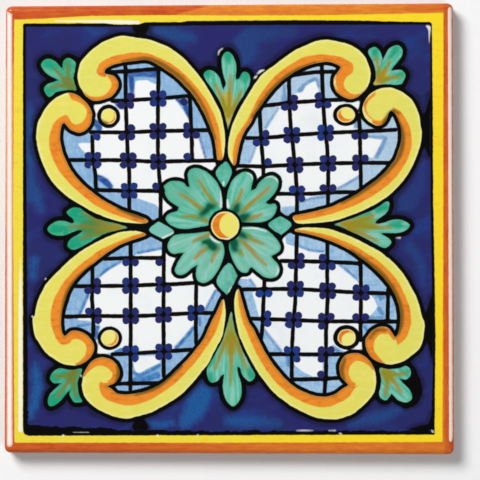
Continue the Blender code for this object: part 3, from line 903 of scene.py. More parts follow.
PALE_STROKES = (
    Stroke((-2.3, 15.6, 0.1, -2, 11.6, 0.42, -2, 8.6, 0.5)),
    Stroke((9.5, 23.7, 0.2, 11.4, 22.6, 0.3, 11.9, 21, 0.2)),
    Stroke((17.7, 21.4, 0.15, 20.2, 21.9, 0.3, 22.6, 21, 0.3, 23.1, 19.4, 0.2)),
    Stroke((1.2, 8.6, 0.65, 0.9, 11.6, 0.35)),
    Stroke((-6.9, -4.6, 0.35, -5, -6.4, 0.55, -2.6, -7.5, 0.25)),
    Stroke((22.9, -18.2, 0.15, 23.5, -20, 0.35, 22.4, -22, 0.2)),
    Stroke((7.8, -1.1, 0.2, 13, -1, 0.42, 18.2, -2.4, 0.2)),
    Stroke((-23.4, -3, 0.2, -28, -5.2, 0.4)),
    Stroke((-0.9, 18.1, 0.3, -0.8, 19.6, 0.45)),
    Stroke((1.4, -29.2, 0.35, 2.6, -27, 0.15)),
    Stroke((3.4, -4.8, 0.1, 1.4, -5.7, 0.3, -0.8, -5.8, 0.1)),
    Stroke((-3.3, 76.3, 0.2, -2.8, 78, 0.32, -1.2, 79.3, 0.2)),
    Stroke((77.9, -5.4, 0.45, 76, -5.5, 0.15)),
    Stroke((59.9, 26.3, 0.35, 60, 26.6, 0.3), Quarter.TOP_LEFT),
    Stroke((89.8, 89, 0.4, 90.8, 88.5, 0.75, 91.1, 87, 0.45, 91, 84.5, 0.25, 91, 81.5, 0.08), Quarter.TOP_RIGHT),
    Stroke((12.8, 65.8, 0.3, 13.6, 66.6, 0.5), Quarter.TOP_RIGHT),
    Stroke((14.2, 67.8, 0.3, 15.6, 69, 0.55, 17.3, 69.6, 0.2), Quarter.TOP_RIGHT),
    Stroke((72.4, 93.4, 0.45, 72.8, 93.3, 0.3), Quarter.BOTTOM_LEFT),
    Stroke((30.2, 93.4, 0.4, 30.8, 93.4, 0.3), Quarter.BOTTOM_LEFT),
    Stroke((12.6, 93.4, 0.4, 12.2, 93.2, 0.3), Quarter.BOTTOM_LEFT),
    Stroke((64.5, 66.6, 0.4, 64.3, 67.2, 0.25), Quarter.BOTTOM_LEFT),
    Stroke((86.2, 40.2, 0.4, 86.5, 40.6, 0.25), Quarter.BOTTOM_LEFT),
    Stroke((80.3, 23.3, 0.35, 80.6, 23.8, 0.2), Quarter.BOTTOM_LEFT),
    Stroke((68, 91.9, 0.06, 61, 91.9, 0.14), Quarter.BOTTOM_LEFT),
    Stroke((92.6, 91.9, 0.5, 92.2, 91.4, 0.3), Quarter.BOTTOM_RIGHT),
    Stroke((51.7, 92.9, 0.4, 50.9, 92.7, 0.3), Quarter.BOTTOM_RIGHT),
    Stroke((39, 91.4, 0.2, 35, 91.3, 0.35, 31.6, 91.4, 0.2), Quarter.BOTTOM_RIGHT),
    Stroke((49, 91.4, 0.3, 46, 91.4, 0.2), Quarter.BOTTOM_RIGHT),
)


@dataclass(frozen=True)
class PaleField:
    """One of the four pale fields: trellis lines, dabs beside their crossings, and where the blue wash stays off.

    posts run away from the centre line and rails across them. A dab code is a post, a rail and the places round
    their crossing: first up or down (away from the centre or towards it), then outer or inner.
    """

    quarter: Quarter
    posts: tuple[Flat, ...]
    rails: tuple[Flat, ...]
    dabs: str
    clear: tuple[Flat, ...]
    deep: tuple[Flat, ...]

    def rods(self) -> list[np.ndarray]:
        """Return the trellis lines in the pattern."""
        return [self.quarter.place(line) for line in self.posts + self.rails]

    def crossing(self, post: int, rail: int) -> np.ndarray:
        """Find where a post meets a rail.

        Args:
            post: Row of the post.
            rail: Row of the rail.

        Returns:
            The crossing, read outwards in this quarter.
        """
        up, across = pairs(self.posts[post]), pairs(self.rails[rail])
        up, across = up[np.argsort(up[:, 1])], across[np.argsort(across[:, 0])]
        a, b = up[0, 0], across[0, 1]
        for _ in range(6):
            a = float(np.interp(b, up[:, 1], up[:, 0]))
            b = float(np.interp(a, across[:, 0], across[:, 1]))
        return np.array((a, b))

    def spots(self) -> np.ndarray:
        """Return the centres of the dabs in the pattern."""
        ways = {"q": (-2.1, 2.0), "w": (2.1, 2.0), "a": (-2.1, -2.0), "s": (2.1, -2.0)}
        found = []
        for code in self.dabs.split():
            spot = self.crossing(int(code[0]), int(code[1]))
            found += [spot + np.array(ways[way]) for way in code[2:]]
        return np.array(found) * np.array(self.quarter.value)


PALE_FIELDS = (
    PaleField(
        TL,
        ((59.5, 40, 59.3, 30, 58.1, 23, 57.9, 16.8), (44.7, 72, 44.5, 54, 44.2, 43.7, 43.7, 33.3, 43, 23.7, 43, 6),
         (29.9, 69.5, 30.2, 54, 30.2, 33.3, 29.7, 23.7, 29, 14.3, 29, 2.5), (15.9, 57, 15.4, 45.4, 15, 36.8, 15, 29.2)),
        ((54, 68.8, 44.7, 69, 32.6, 70, 28, 70.4), (50.6, 55.9, 44.7, 56, 29.9, 56.9, 16, 58.1),
         (60.3, 41.9, 46, 41.8, 37, 42.1, 30, 42.4, 16, 42.6, 7.4, 42.8),
         (70, 29.5, 46, 29.4, 30, 28.7, 19.5, 29, 5, 29.2), (57, 16.1, 46, 15.8, 30, 15.7)),
        "11qsa 21qwas 02a 03qwas 12qsa 22qwas 32wsa 13qwas 23qwas 33w 14qwas 24w",
        ((40.2, 64.5, 38.5, 65.1, 35, 65.1, 33, 64, 30, 63, 30, 57, 42, 56.5, 41, 60),
         (58.5, 55, 53, 55.8, 50, 54.8, 47.5, 52, 45, 52, 45, 56.5, 22.5, 56.5, 16.7, 48.5, 15.5, 43, 12.3, 41.5,
          10.5, 36, 9, 30.2, -3, 30, -3, -3, 28, -3, 28, 6, 31, 9.5, 38, 12, 42, 13.5, 44, 16, 50.5, 17, 52, 20,
          55, 21.5, 57.5, 22.7, 58.5, 27, 59.5, 30, 60.3, 32.5, 63, 33, 64.5, 34.5, 66, 36.7, 64, 37.2, 60, 37,
          59.5, 42, 55, 43, 55.5, 47, 59, 47.5)),
        ((43, 68, 1.4, 37, 68, 1.2, 31, 67.8, 1.6), (42.1, 66, 1.2, 41.5, 58, 0.9), (21.6, 56.4, 0.6, 18.4, 54.4, 1.1, 17.2, 51, 0.8, 15.6, 47.4, 0.5),
         (58.6, 47, 1.1, 56.4, 43.8, 1.3), (48.4, 54.6, 0.9, 45.8, 53.4, 0.8),
         (57, 22, 1.1, 54, 20.2, 1.5, 51.2, 17.6, 1.1), (12.2, 41, 0.35, 9, 30.4, 0.35)),
    ),
    PaleField(
        TR,
        ((59.4, 49.5, 60, 44, 60.2, 29.9, 60.5, 17.4), (43, 72.4, 43.5, 56.9, 44.2, 46.2, 45.4, 35, 45.9, 24.7, 45.7, 8),
         (28.3, 65.9, 28.5, 56.9, 29, 45.4, 30.2, 34.7, 31.4, 23, 31.9, 14.3, 31.9, 4.5),
         (15.2, 52, 15.6, 43.7, 16.2, 34.7, 16.9, 27, 17, 20.5)),
        ((48.1, 68.8, 40.2, 68.6, 32.6, 67.6, 28.5, 67), (54, 56.4, 44.3, 56, 36.8, 55.5, 28.5, 55, 17.4, 53.6),
         (76, 42.8, 62, 42.1, 44.7, 41.4, 30, 40.5, 23, 39.7, 15.7, 39.2, 9.5, 39.2),
         (73.8, 28, 60.3, 28.1, 45.4, 27.8, 35.4, 27.5, 24.7, 26.9, 16.8, 26.5, 4, 26.9),
         (59, 15, 45.7, 14.9, 38.5, 14.3, 22, 14.3)),
        "11qsa 21wsa 02sa 03wqa 12qwas 22qwas 32wsa 13qwas 23qwas 33w 14wq 24wqs",
        ((41.3, 61.5, 40.1, 64.4, 38, 63.8, 36, 62.5, 34.5, 60, 30.5, 58.6, 30.5, 55, 42.2, 56.4),
         (60, 56, 57, 55.8, 53, 54.8, 44, 56, 29, 55.4, 23.7, 53.5, 20.5, 47.5, 17.5, 43.3, 15.5, 39.5, 13.7, 36,
          12.2, 31.5, 10.9, 28, -3, 27, -3, -3, 25, -3, 25, 8.5, 32.7, 9, 32.8, 11, 38, 12.8, 44.5, 14, 49.5, 16.4,
          55, 19.8, 60, 22.7, 61, 30.5, 66, 30.5, 68, 33, 70, 38.2, 61, 39.6, 60.5, 43, 58, 44, 57.5, 47, 59, 49,
          60.7, 51)),
        ((41.7, 62.2, 0.5, 40.4, 65.4, 0.7, 36, 63.5, 0.6, 33.4, 60.6, 1.1),
         (26.3, 62.8, 0.4, 26.3, 59.4, 0.7, 26.3, 56.4, 1.3), (71.5, 39.1, 0.7, 69.2, 34, 1, 67.3, 30.8, 0.8),
         (71.5, 39.4, 0.5, 61.5, 40, 0.4), (59.6, 22.1, 0.5, 55.1, 19.2, 0.6, 50, 16.7, 0.5),
         (23.7, 52.6, 0.5, 17.9, 43.6, 0.5), (13.8, 35.9, 0.4, 10.9, 28.2, 0.4),
         (44.5, 13, 0.4, 38, 12, 0.5, 32.7, 10.5, 0.4), (60, 48, 0.8, 58.2, 44.4, 1)),
    ),
    PaleField(
        BL,
        ((59.1, 48.8, 59, 40, 59.7, 32.6, 59.3, 26.4, 59.5, 16.5), (42.5, 73, 42.3, 40, 42.4, 6),
         (27.6, 67, 27.7, 40, 27.5, 5), (13.1, 52.4, 13.3, 42, 13, 24)),
        ((49.5, 70.3, 40.2, 70.2, 29.9, 70), (50.6, 57.2, 42.3, 56.9, 35, 56.4, 27.8, 56, 15.4, 55.2),
         (71.4, 40.4, 59.3, 40, 46.2, 40.2, 35, 40, 23, 39.3, 13.3, 38.8, 4.7, 38.8),
         (66.9, 26.8, 42.4, 26.6, 33.3, 26.2, 23, 25.9, 14.3, 25.4), (54, 14.6, 42.6, 14.2, 27.6, 14.2)),
        "11qsa 21qwsa 02qsa 03wqa 12qwas 22qwas 32wsa 13qwas 23wqs 14wq 24w",
        ((41.2, 60, 41, 62.2, 40.2, 65.2, 38.5, 65.6, 35.3, 63.8, 29.2, 61, 29.2, 57.7, 41.2, 58),
         (58.5, 57.5, 54, 57.3, 50.5, 56, 47, 54.3, 44, 54, 43.5, 57, 27, 56, 23, 55.2, 19.5, 51.5, 14.5, 45.4,
          13.5, 41, 10, 38.5, 7, 33.5, 4.6, 28.3, -3, 28, -3, -3, 28, -3, 28, 10.5, 34, 11.6, 40, 12.8, 42, 14.5,
          46.5, 15.8, 52.6, 19.8, 56.5, 22.9, 58, 27, 61.5, 31, 63.5, 35, 65, 39.6, 66, 41.8, 61, 42.2, 58.8, 42.5,
          57, 45, 57, 50, 58.6, 52)),
        ((40.7, 65.4, 0.7, 38.5, 66.7, 0.7, 34.6, 65.1, 0.7, 29.5, 62.2, 0.7),
         (22.1, 54.2, 0.8, 18.6, 50.6, 0.8, 14.4, 45.5, 0.8), (11.5, 44.2, 0.5, 11.5, 41, 0.5),
         (9, 37.2, 0.4, 4.5, 28.8, 0.4), (65.1, 39.4, 0.6, 61.5, 30.8, 0.7),
         (56.4, 22.4, 0.5, 52.6, 19.2, 0.6, 46.8, 16, 0.4), (39.1, 11.9, 0.4, 28.8, 9.9, 0.3),
         (66, 44.6, 0.4, 60.5, 43.6, 0.4), (58, 50, 0.8, 57, 45, 0.9), (48.8, 56.2, 0.8, 45.6, 55, 0.8),
         (40.6, 68.4, 0.8, 36, 68.2, 1.2, 30.5, 66.6, 1.4)),
    ),
    PaleField(
        BR,
        ((60.4, 51, 60.3, 46.1, 60.5, 29.9, 60.3, 15), (44.2, 74.5, 44.9, 65.5, 44.9, 46.2, 45.6, 33.3, 45.4, 23, 45.5, 7),
         (29.5, 67.2, 29.7, 55.2, 30.2, 43.7, 31.1, 34.7, 31.4, 23, 31.9, 3),
         (15.8, 51, 16.6, 43.7, 16.9, 34.7, 17.5, 22.5), (72.4, 42.6, 72.6, 28.6)),
        ((50.6, 67.8, 44.7, 68.3, 29.9, 68.6), (52.3, 57.2, 44.7, 57.4, 17.8, 57.2),
         (77.2, 42.8, 46, 42.6, 36.8, 42.3, 24.7, 41.8, 11.6, 41.4),
         (74.5, 30.2, 60.3, 29.9, 46.2, 29, 29.9, 28.1, 7.8, 28.3),
         (59.3, 16.8, 46.2, 16.1, 31.6, 15.7, 24.7, 15.6)),
        "10a 11qsa 21wsa 02sa 03qwas 12qsa 22qwas 32ws 13qwas 23qwas 33wq 14wqa 24wqs",
        ((43.3, 67.3, 39, 67.3, 34, 64.8, 30.5, 61.8, 30.5, 58.5, 43.5, 58.5),
         (61, 56.5, 55, 56.8, 51.5, 55, 48, 53, 46, 56, 44, 57.5, 25.5, 56.5, 21.2, 51.5, 17, 46, 16.5, 42, 14.8, 40,
          13.5, 35, 12, 30, 13.8, 27.5, 11, 23.8, -3, 23, -3, -3, 26, -3, 27, 8, 32, 9.5, 38, 11.3, 44, 12, 46, 16,
          50.5, 17, 54.5, 20.7, 59, 25, 61.5, 30.8, 65, 30.8, 66.7, 33.3, 68, 36.5, 64.2, 40.5, 61.5, 41.2,
          61, 43.5, 60, 45.5, 60.5, 48, 61.5, 50)),
        ((69.9, 39.1, 0.8, 68.3, 36.9, 0.8), (70.2, 41, 0.4, 62.5, 41, 0.4), (69.4, 33, 0.5, 68.6, 31.4, 0.4),
         (67.6, 31, 0.5, 70.6, 32, 0.7),
         (28.2, 62.2, 0.7, 28, 58.3, 0.8), (25, 55.8, 0.5, 21.2, 51.3, 0.6, 17.3, 46.2, 0.5),
         (13.5, 27, 0.3, 10.9, 23.7, 0.3), (58.3, 23.4, 0.4, 54.5, 20.2, 0.5, 50.6, 17.3, 0.4),
         (43.6, 11.5, 0.4, 37.8, 10.9, 0.5, 32.7, 9, 0.3), (64, 48, 0.5, 62, 45, 0.6),
         (50.2, 55.8, 0.7, 47.6, 54.4, 0.7)),
    ),
)

LONE_DABS = (-18.6, 55.4)

FRAME_INNER = (
    -89.1, 89, -52, 89, -37, 89.2, -18, 89.4, 20, 89.6, 91.4, 89.7, 91.5, 50, 91.6, 10, 92.2, -30, 92.6, -60,
    91.9, -91.4, 50, -91.5, 0, -91.4, -40, -91, -52, -90.2, -75, -89.2, -88.2, -88.8, -88.4, -50, -88.8, 0, -89.1, 50,
)
FRAME_OUTER = (
    -90.5, 90.5, -53, 90.5, -50, 90, -39, 90, -36, 91, -20, 91, -17, 91.5, 30, 91.8, 60, 91.6, 75, 91.1, 91, 90.9, 92.2, 90.2, 92.6, 50, 92.8, 10,
    93.4, -20, 93.8, -50, 93.4, -93.3, 50, -93.3, -88.2, -93.5, -89.8, -92.8, -90.5, -91.2, -90.5, 0,
)
ORANGE_LOOP = (
    -94.4, 92.2, -80, 92.7, -60, 93.8, -30, 94.1, 0, 93.9, 40, 93.9, 97.3, 94.9, 97.2, 0, 97, -50, 96.9, -96.5,
    0, -96.7, -94.3, -96.5, -94.9, 0,
)
# Pale strips on the left and right rounded edges: cream bare glaze, with a painted highlight laid over them in the
# glaze's colour.
PALE_STRIPS = (
    (-97.8, 96.2, -95.3, 94.6, -95.2, 0, -95.1, -97.4, -95.6, -98.2, -96.6, -98.5, -97.4, -98.2, -97.8, -97.4, -97.8, 0),
    (99.3, 96.4, 99.7, 97.3, 100.3, 97.6, 100.8, 97.2, 101, 96, 101.3, 0, 101.5, -94, 101, -97, 99.9, -96, 99.6, 0),
)
GAPS = (
    Stroke((-76, 91.6, 0.25, -60, 91.4, 0.5, -48, 91.1, 0.8, -39, 90.9, 0.7)),
    Stroke((-91.6, -14, 0.1, -91.6, -32, 0.7, -91.6, -60, 0.9, -91.6, -91, 0.9)),
)
INK_STROKES = (
    Stroke((40, 88.6, 1.6, 37.5, 87.6, 2.2, 35.5, 88.8, 1.5), Quarter.TOP_LEFT),
    Stroke((40, 89.6, 1.6, 38, 88.4, 2.4, 36, 89.6, 1.6), Quarter.BOTTOM_LEFT),
    Stroke((91.4, 58, 0.2, 90.6, 52, 0.9, 89.6, 46, 1.6, 89.8, 38, 1.5, 91, 31, 0.4), Quarter.TOP_RIGHT),
    Stroke((92.4, 60, 0.2, 91.6, 54, 0.9, 91, 46, 1.6, 91, 40, 1.5, 92.4, 31, 0.3), Quarter.BOTTOM_RIGHT),
    Stroke((62, 59.4, 1.4, 65, 61, 1.4, 69, 62, 1), Quarter.TOP_LEFT),
    Stroke((63, 60.6, 1.3, 66, 62.4, 1.2, 70, 63, 0.9), Quarter.TOP_RIGHT),
    Stroke((60.5, 62.8, 1.2, 64, 64.6, 1.2, 68, 64.4, 0.9), Quarter.BOTTOM_LEFT),
    Stroke((63.5, 60.5, 1.3, 67, 62.6, 1.3, 71, 63.4, 0.9), Quarter.BOTTOM_RIGHT),
    Stroke((83.6, 65, 1.4, 85, 69.5, 2.2, 85.6, 74, 2.3, 84, 78, 2, 80.5, 80.2, 1.4), Quarter.BOTTOM_RIGHT),
    Stroke((82, 91, 0.3, 87, 90.4, 1.2, 91.4, 89.4, 1.3, 92.4, 84, 0.3), Quarter.BOTTOM_RIGHT),
    Stroke((0.2, 31, 1.1, 0, 27.5, 1.2)),
    Stroke((3, -30, 1.2, 2, -33, 1.2)),
    Stroke((-34, -1.5, 1.3, -37, -1.2, 1.2)),
    Stroke((29.5, 0.6, 1.2, 33, 0.6, 1.1)),
)
OLIVE_STROKES = (
    Stroke((46, 73.7, 0.3, 40, 74.5, 0.6, 34.7, 74.7, 0.8, 29, 72.5, 0.9, 22.4, 68.1, 0.9, 18.8, 65, 0.8, 13.2, 58.6, 0.7,
            8.6, 50.6, 0.6, 4.6, 39, 0.5), Quarter.TOP_LEFT),
    Stroke((70.4, 45.6, 0.5, 72.8, 48.6, 1.3, 74.6, 51, 1, 77.4, 50.2, 0.4), Quarter.TOP_RIGHT),
    Stroke((55.6, 47.6, 0.3, 54.6, 46.4, 0.7, 52.8, 45.8, 0.6), Quarter.TOP_LEFT),
    Stroke((48, 7.6, 0.4, 42, 5.4, 0.8, 37, 3.4, 0.6), Quarter.TOP_LEFT),
    Stroke((40, 73, 0.3, 30, 68.8, 0.6, 20, 60.2, 0.7, 12, 48.6, 0.5), Quarter.TOP_RIGHT),
    Stroke((76.5, 48, 0.5, 78.6, 43, 0.9, 79.2, 38, 1, 78, 32, 0.9, 74.6, 26.6, 0.8, 68, 20.2, 0.8, 60, 14.6, 0.8,
            52, 10.2, 0.5), Quarter.TOP_RIGHT),
    Stroke((60, 17.5, 0.4, 65.5, 22.6, 0.8, 69.4, 27.6, 1, 72, 33.6, 0.8, 73, 40, 0.4), Quarter.BOTTOM_LEFT),
    Stroke((48.2, 62.5, 0.5, 47.8, 66, 0.8, 48.8, 69.4, 0.5), Quarter.BOTTOM_LEFT),
    Stroke((40, 75.2, 0.5, 30, 71.4, 0.9, 20, 62.6, 0.8), Quarter.BOTTOM_LEFT),
    Stroke((53, 68.6, 0.4, 51.9, 64, 0.9, 53.4, 59.6, 0.6), Quarter.BOTTOM_RIGHT),
    Stroke((64.4, 50.4, 0.4, 67.4, 46.8, 0.7, 71.4, 46.6, 0.4), Quarter.BOTTOM_RIGHT),
    Stroke((56, 10.8, 0.5, 63, 15.8, 0.9, 69.6, 21.6, 1.1, 75, 29, 1.3, 77.8, 37, 1.5, 78.2, 44, 1.2, 77, 48.4, 0.5),
           Quarter.BOTTOM_RIGHT),
)
CREAM_RIMS = (
    Stroke((49.2, 67.2, 0.15, 48.8, 63.6, 0.4, 50, 60.4, 0.15), Quarter.TOP_RIGHT),
    Stroke((62, 53.4, 0.2, 62, 50.4, 0.4, 65, 47, 0.3), Quarter.TOP_RIGHT),
)
LEAF_WASHES = (
    Stroke((1.3, 45.4, 0.9, 0.9, 50.5, 2.6, 0.6, 57, 2.4)),
    Stroke((2.4, -40.8, 0.6, 2.4, -47, 2.6, 2.4, -55, 2.6)),
    Stroke((-46, -0.8, 0.9, -52, -0.6, 2.6, -60, -0.4, 3.4, -64, -0.6, 1.4)),
    Stroke((50.6, 0.3, 0.8, 56, 0.6, 2.4, 62, 0.8, 3.4, 66, 0.4, 1.4)),
    Stroke((68, 61.8, 1.6, 71, 64.4, 2), Quarter.TOP_LEFT),
    Stroke((67.6, 63.6, 1.6, 70.4, 67, 2), Quarter.TOP_RIGHT),
    Stroke((66.6, 64.8, 1.4, 69, 67.4, 1.8), Quarter.BOTTOM_LEFT),
    Stroke((70.4, 64.6, 1.6, 73, 67.6, 2.2), Quarter.BOTTOM_RIGHT),
)
LIGHT_PATCHES = (
    Stroke((62, 88.4, 1.2, 58, 86.6, 1.8, 54, 86.6, 1), Quarter.TOP_LEFT),
    Stroke((30, 86.6, 2, 22, 85, 3, 15, 84, 2), Quarter.TOP_LEFT),
    Stroke((87.4, 54, 1.2, 87, 34, 2, 87.4, 12, 1.6), Quarter.TOP_LEFT),
    Stroke((88, 22, 1.4, 85.4, 15, 2.8, 83, 8, 1.6), Quarter.TOP_LEFT),
    Stroke((30, 86.6, 1.2, 20, 85.6, 2.6, 10, 83, 4.6, 10, 78, 4.8, 6, 71, 2.6), Quarter.TOP_RIGHT),
    Stroke((88, 28, 1.6, 86, 18, 3, 80, 10, 3.4, 76, 8, 1.6), Quarter.TOP_RIGHT),
    Stroke((18, 87, 2.4, 13, 80, 5.4, 8, 72, 3.4), Quarter.BOTTOM_LEFT),
    Stroke((24, 87.6, 1.2, 31, 88, 1.6, 38, 87.6, 1), Quarter.BOTTOM_LEFT),
    Stroke((88, 26, 1, 87, 16, 2, 82, 9, 2), Quarter.BOTTOM_RIGHT),
    Stroke((87, 84, 1.4, 84, 74, 2.4, 85, 62, 1.4), Quarter.BOTTOM_LEFT),
    Stroke((86, 22, 1, 85.6, 15, 1.8), Quarter.BOTTOM_LEFT),
    Stroke((23, 88, 1.4, 12, 87, 3.2, 2, 87, 2.4), Quarter.BOTTOM_RIGHT),
    Stroke((78, 82, 1.6, 68, 85.6, 3, 56, 88, 1.6), Quarter.BOTTOM_RIGHT),
)


def rounded(points: np.ndarray, closed: bool = True, steps: int = 4) -> np.ndarray:
    """Run a Catmull-Rom curve through points; two equal neighbours make a corner.

    Args:
        points: Rows of coordinates.
        closed: Whether the last joins the first.
        steps: Points made for each given one.

    Returns:
        The finer points.
    """
    count = len(points)
    made = []
    for i in range(count if closed else count - 1):
        ends = [(i + k) % count if closed else min(max(i + k, 0), count - 1) for k in (-1, 0, 1, 2)]
        p0, p1, p2, p3 = (points[k] for k in ends)
        if np.allclose(p1[:2], p2[:2]):
            continue
        for t in np.arange(steps) / steps:
            bend = (2 * p0 - 5 * p1 + 4 * p2 - p3) * t * t + (3 * p1 - p0 - 3 * p2 + p3) * t**3
            made.append(0.5 * (2 * p1 + (p2 - p0) * t + bend))
    if not closed:
        made.append(points[-1])
    return np.array(made)


def joined(first: np.ndarray, second: np.ndarray, reach: float = 1.6) -> np.ndarray:
    """Return the smaller of two distances, with the corner between the shapes filled as ink fills it."""
    blend = np.maximum(reach - np.abs(first - second), 0.0) / reach
    return np.minimum(first, second) - blend * blend * reach * 0.25


class Canvas:
    """The face as points in the pattern's millimetres, and their distances from painted shapes."""

    reach = 9.0

    def __init__(self, points: np.ndarray) -> None:
        """Hold rows of x, y."""
        self.points = points

    def clear(self) -> np.ndarray:
        """Return a distance from nothing."""
        return np.full(len(self.points), self.reach)

    def near(self, marks: np.ndarray, margin: float) -> list[np.ndarray]:
        """Return rows of the points round some marks, in runs that fit in memory."""
        low, high = marks.min(axis=0) - margin, marks.max(axis=0) + margin
        rows = np.nonzero(((self.points > low) & (self.points < high)).all(axis=1))[0]
        return np.array_split(rows, max(1, len(rows) // 3000))

    def spans(self, place: np.ndarray, start: np.ndarray, end: np.ndarray) -> tuple[np.ndarray, np.ndarray]:
        """Measure points against line spans.

        Args:
            place: Points.
            start: First ends.
            end: Second ends.

        Returns:
            Distances, and how far along each span the nearest place is.
        """
        span = end - start
        from_start = place[:, None] - start
        along = (from_start * span).sum(axis=-1) / np.maximum((span**2).sum(axis=-1), 1e-9)
        along = np.clip(along, 0.0, 1.0)
        return np.linalg.norm(from_start - along[..., None] * span, axis=-1), along

    def shape(self, corners: np.ndarray, smooth: bool = True) -> np.ndarray:
        """Return the distance from a closed outline, negative inside it.

        Args:
            corners: Its points.
            smooth: Whether it is curved through them.

        Returns:
            A distance for each point of the face.
        """
        start = rounded(corners) if smooth else corners
        end = np.roll(start, -1, axis=0)
        found = self.clear()
        rise = np.where(end[:, 1] == start[:, 1], 1e-9, end[:, 1] - start[:, 1])
        for rows in self.near(start, self.reach):
            place = self.points[rows]
            away = self.spans(place, start, end)[0].min(axis=1)
            y = place[:, 1:2]
            crossed = (start[:, 1] > y) != (end[:, 1] > y)
            left = place[:, 0:1] < start[:, 0] + (y - start[:, 1]) * (end[:, 0] - start[:, 0]) / rise
            found[rows] = np.where((crossed & left).sum(axis=1) % 2 == 1, -away, away)
        return np.clip(found, -self.reach, self.reach)

    def strokes(self, strokes: Sequence[Stroke]) -> np.ndarray:
        """Return the distance from the edge of the nearest brush stroke, negative inside it."""
        found = self.clear()
        for stroke in strokes:
            path, widths = stroke.points()
            fine = rounded(np.column_stack((path, widths)), closed=False)
            for rows in self.near(fine[:, :2], self.reach):
                away, along = self.spans(self.points[rows], fine[:-1, :2], fine[1:, :2])
                width = fine[:-1, 2] + (fine[1:, 2] - fine[:-1, 2]) * along
                found[rows] = np.minimum(found[rows], (away - width).min(axis=1))
        return found

    def ellipse(self, centre: Sequence[float], wide: float, tall: float) -> np.ndarray:
        """Return the distance from an ellipse, negative inside it."""
        scaled = (self.points - np.array(centre)) / np.array((wide, tall))
        return np.minimum((np.linalg.norm(scaled, axis=1) - 1.0) * (wide + tall) / 2, self.reach)


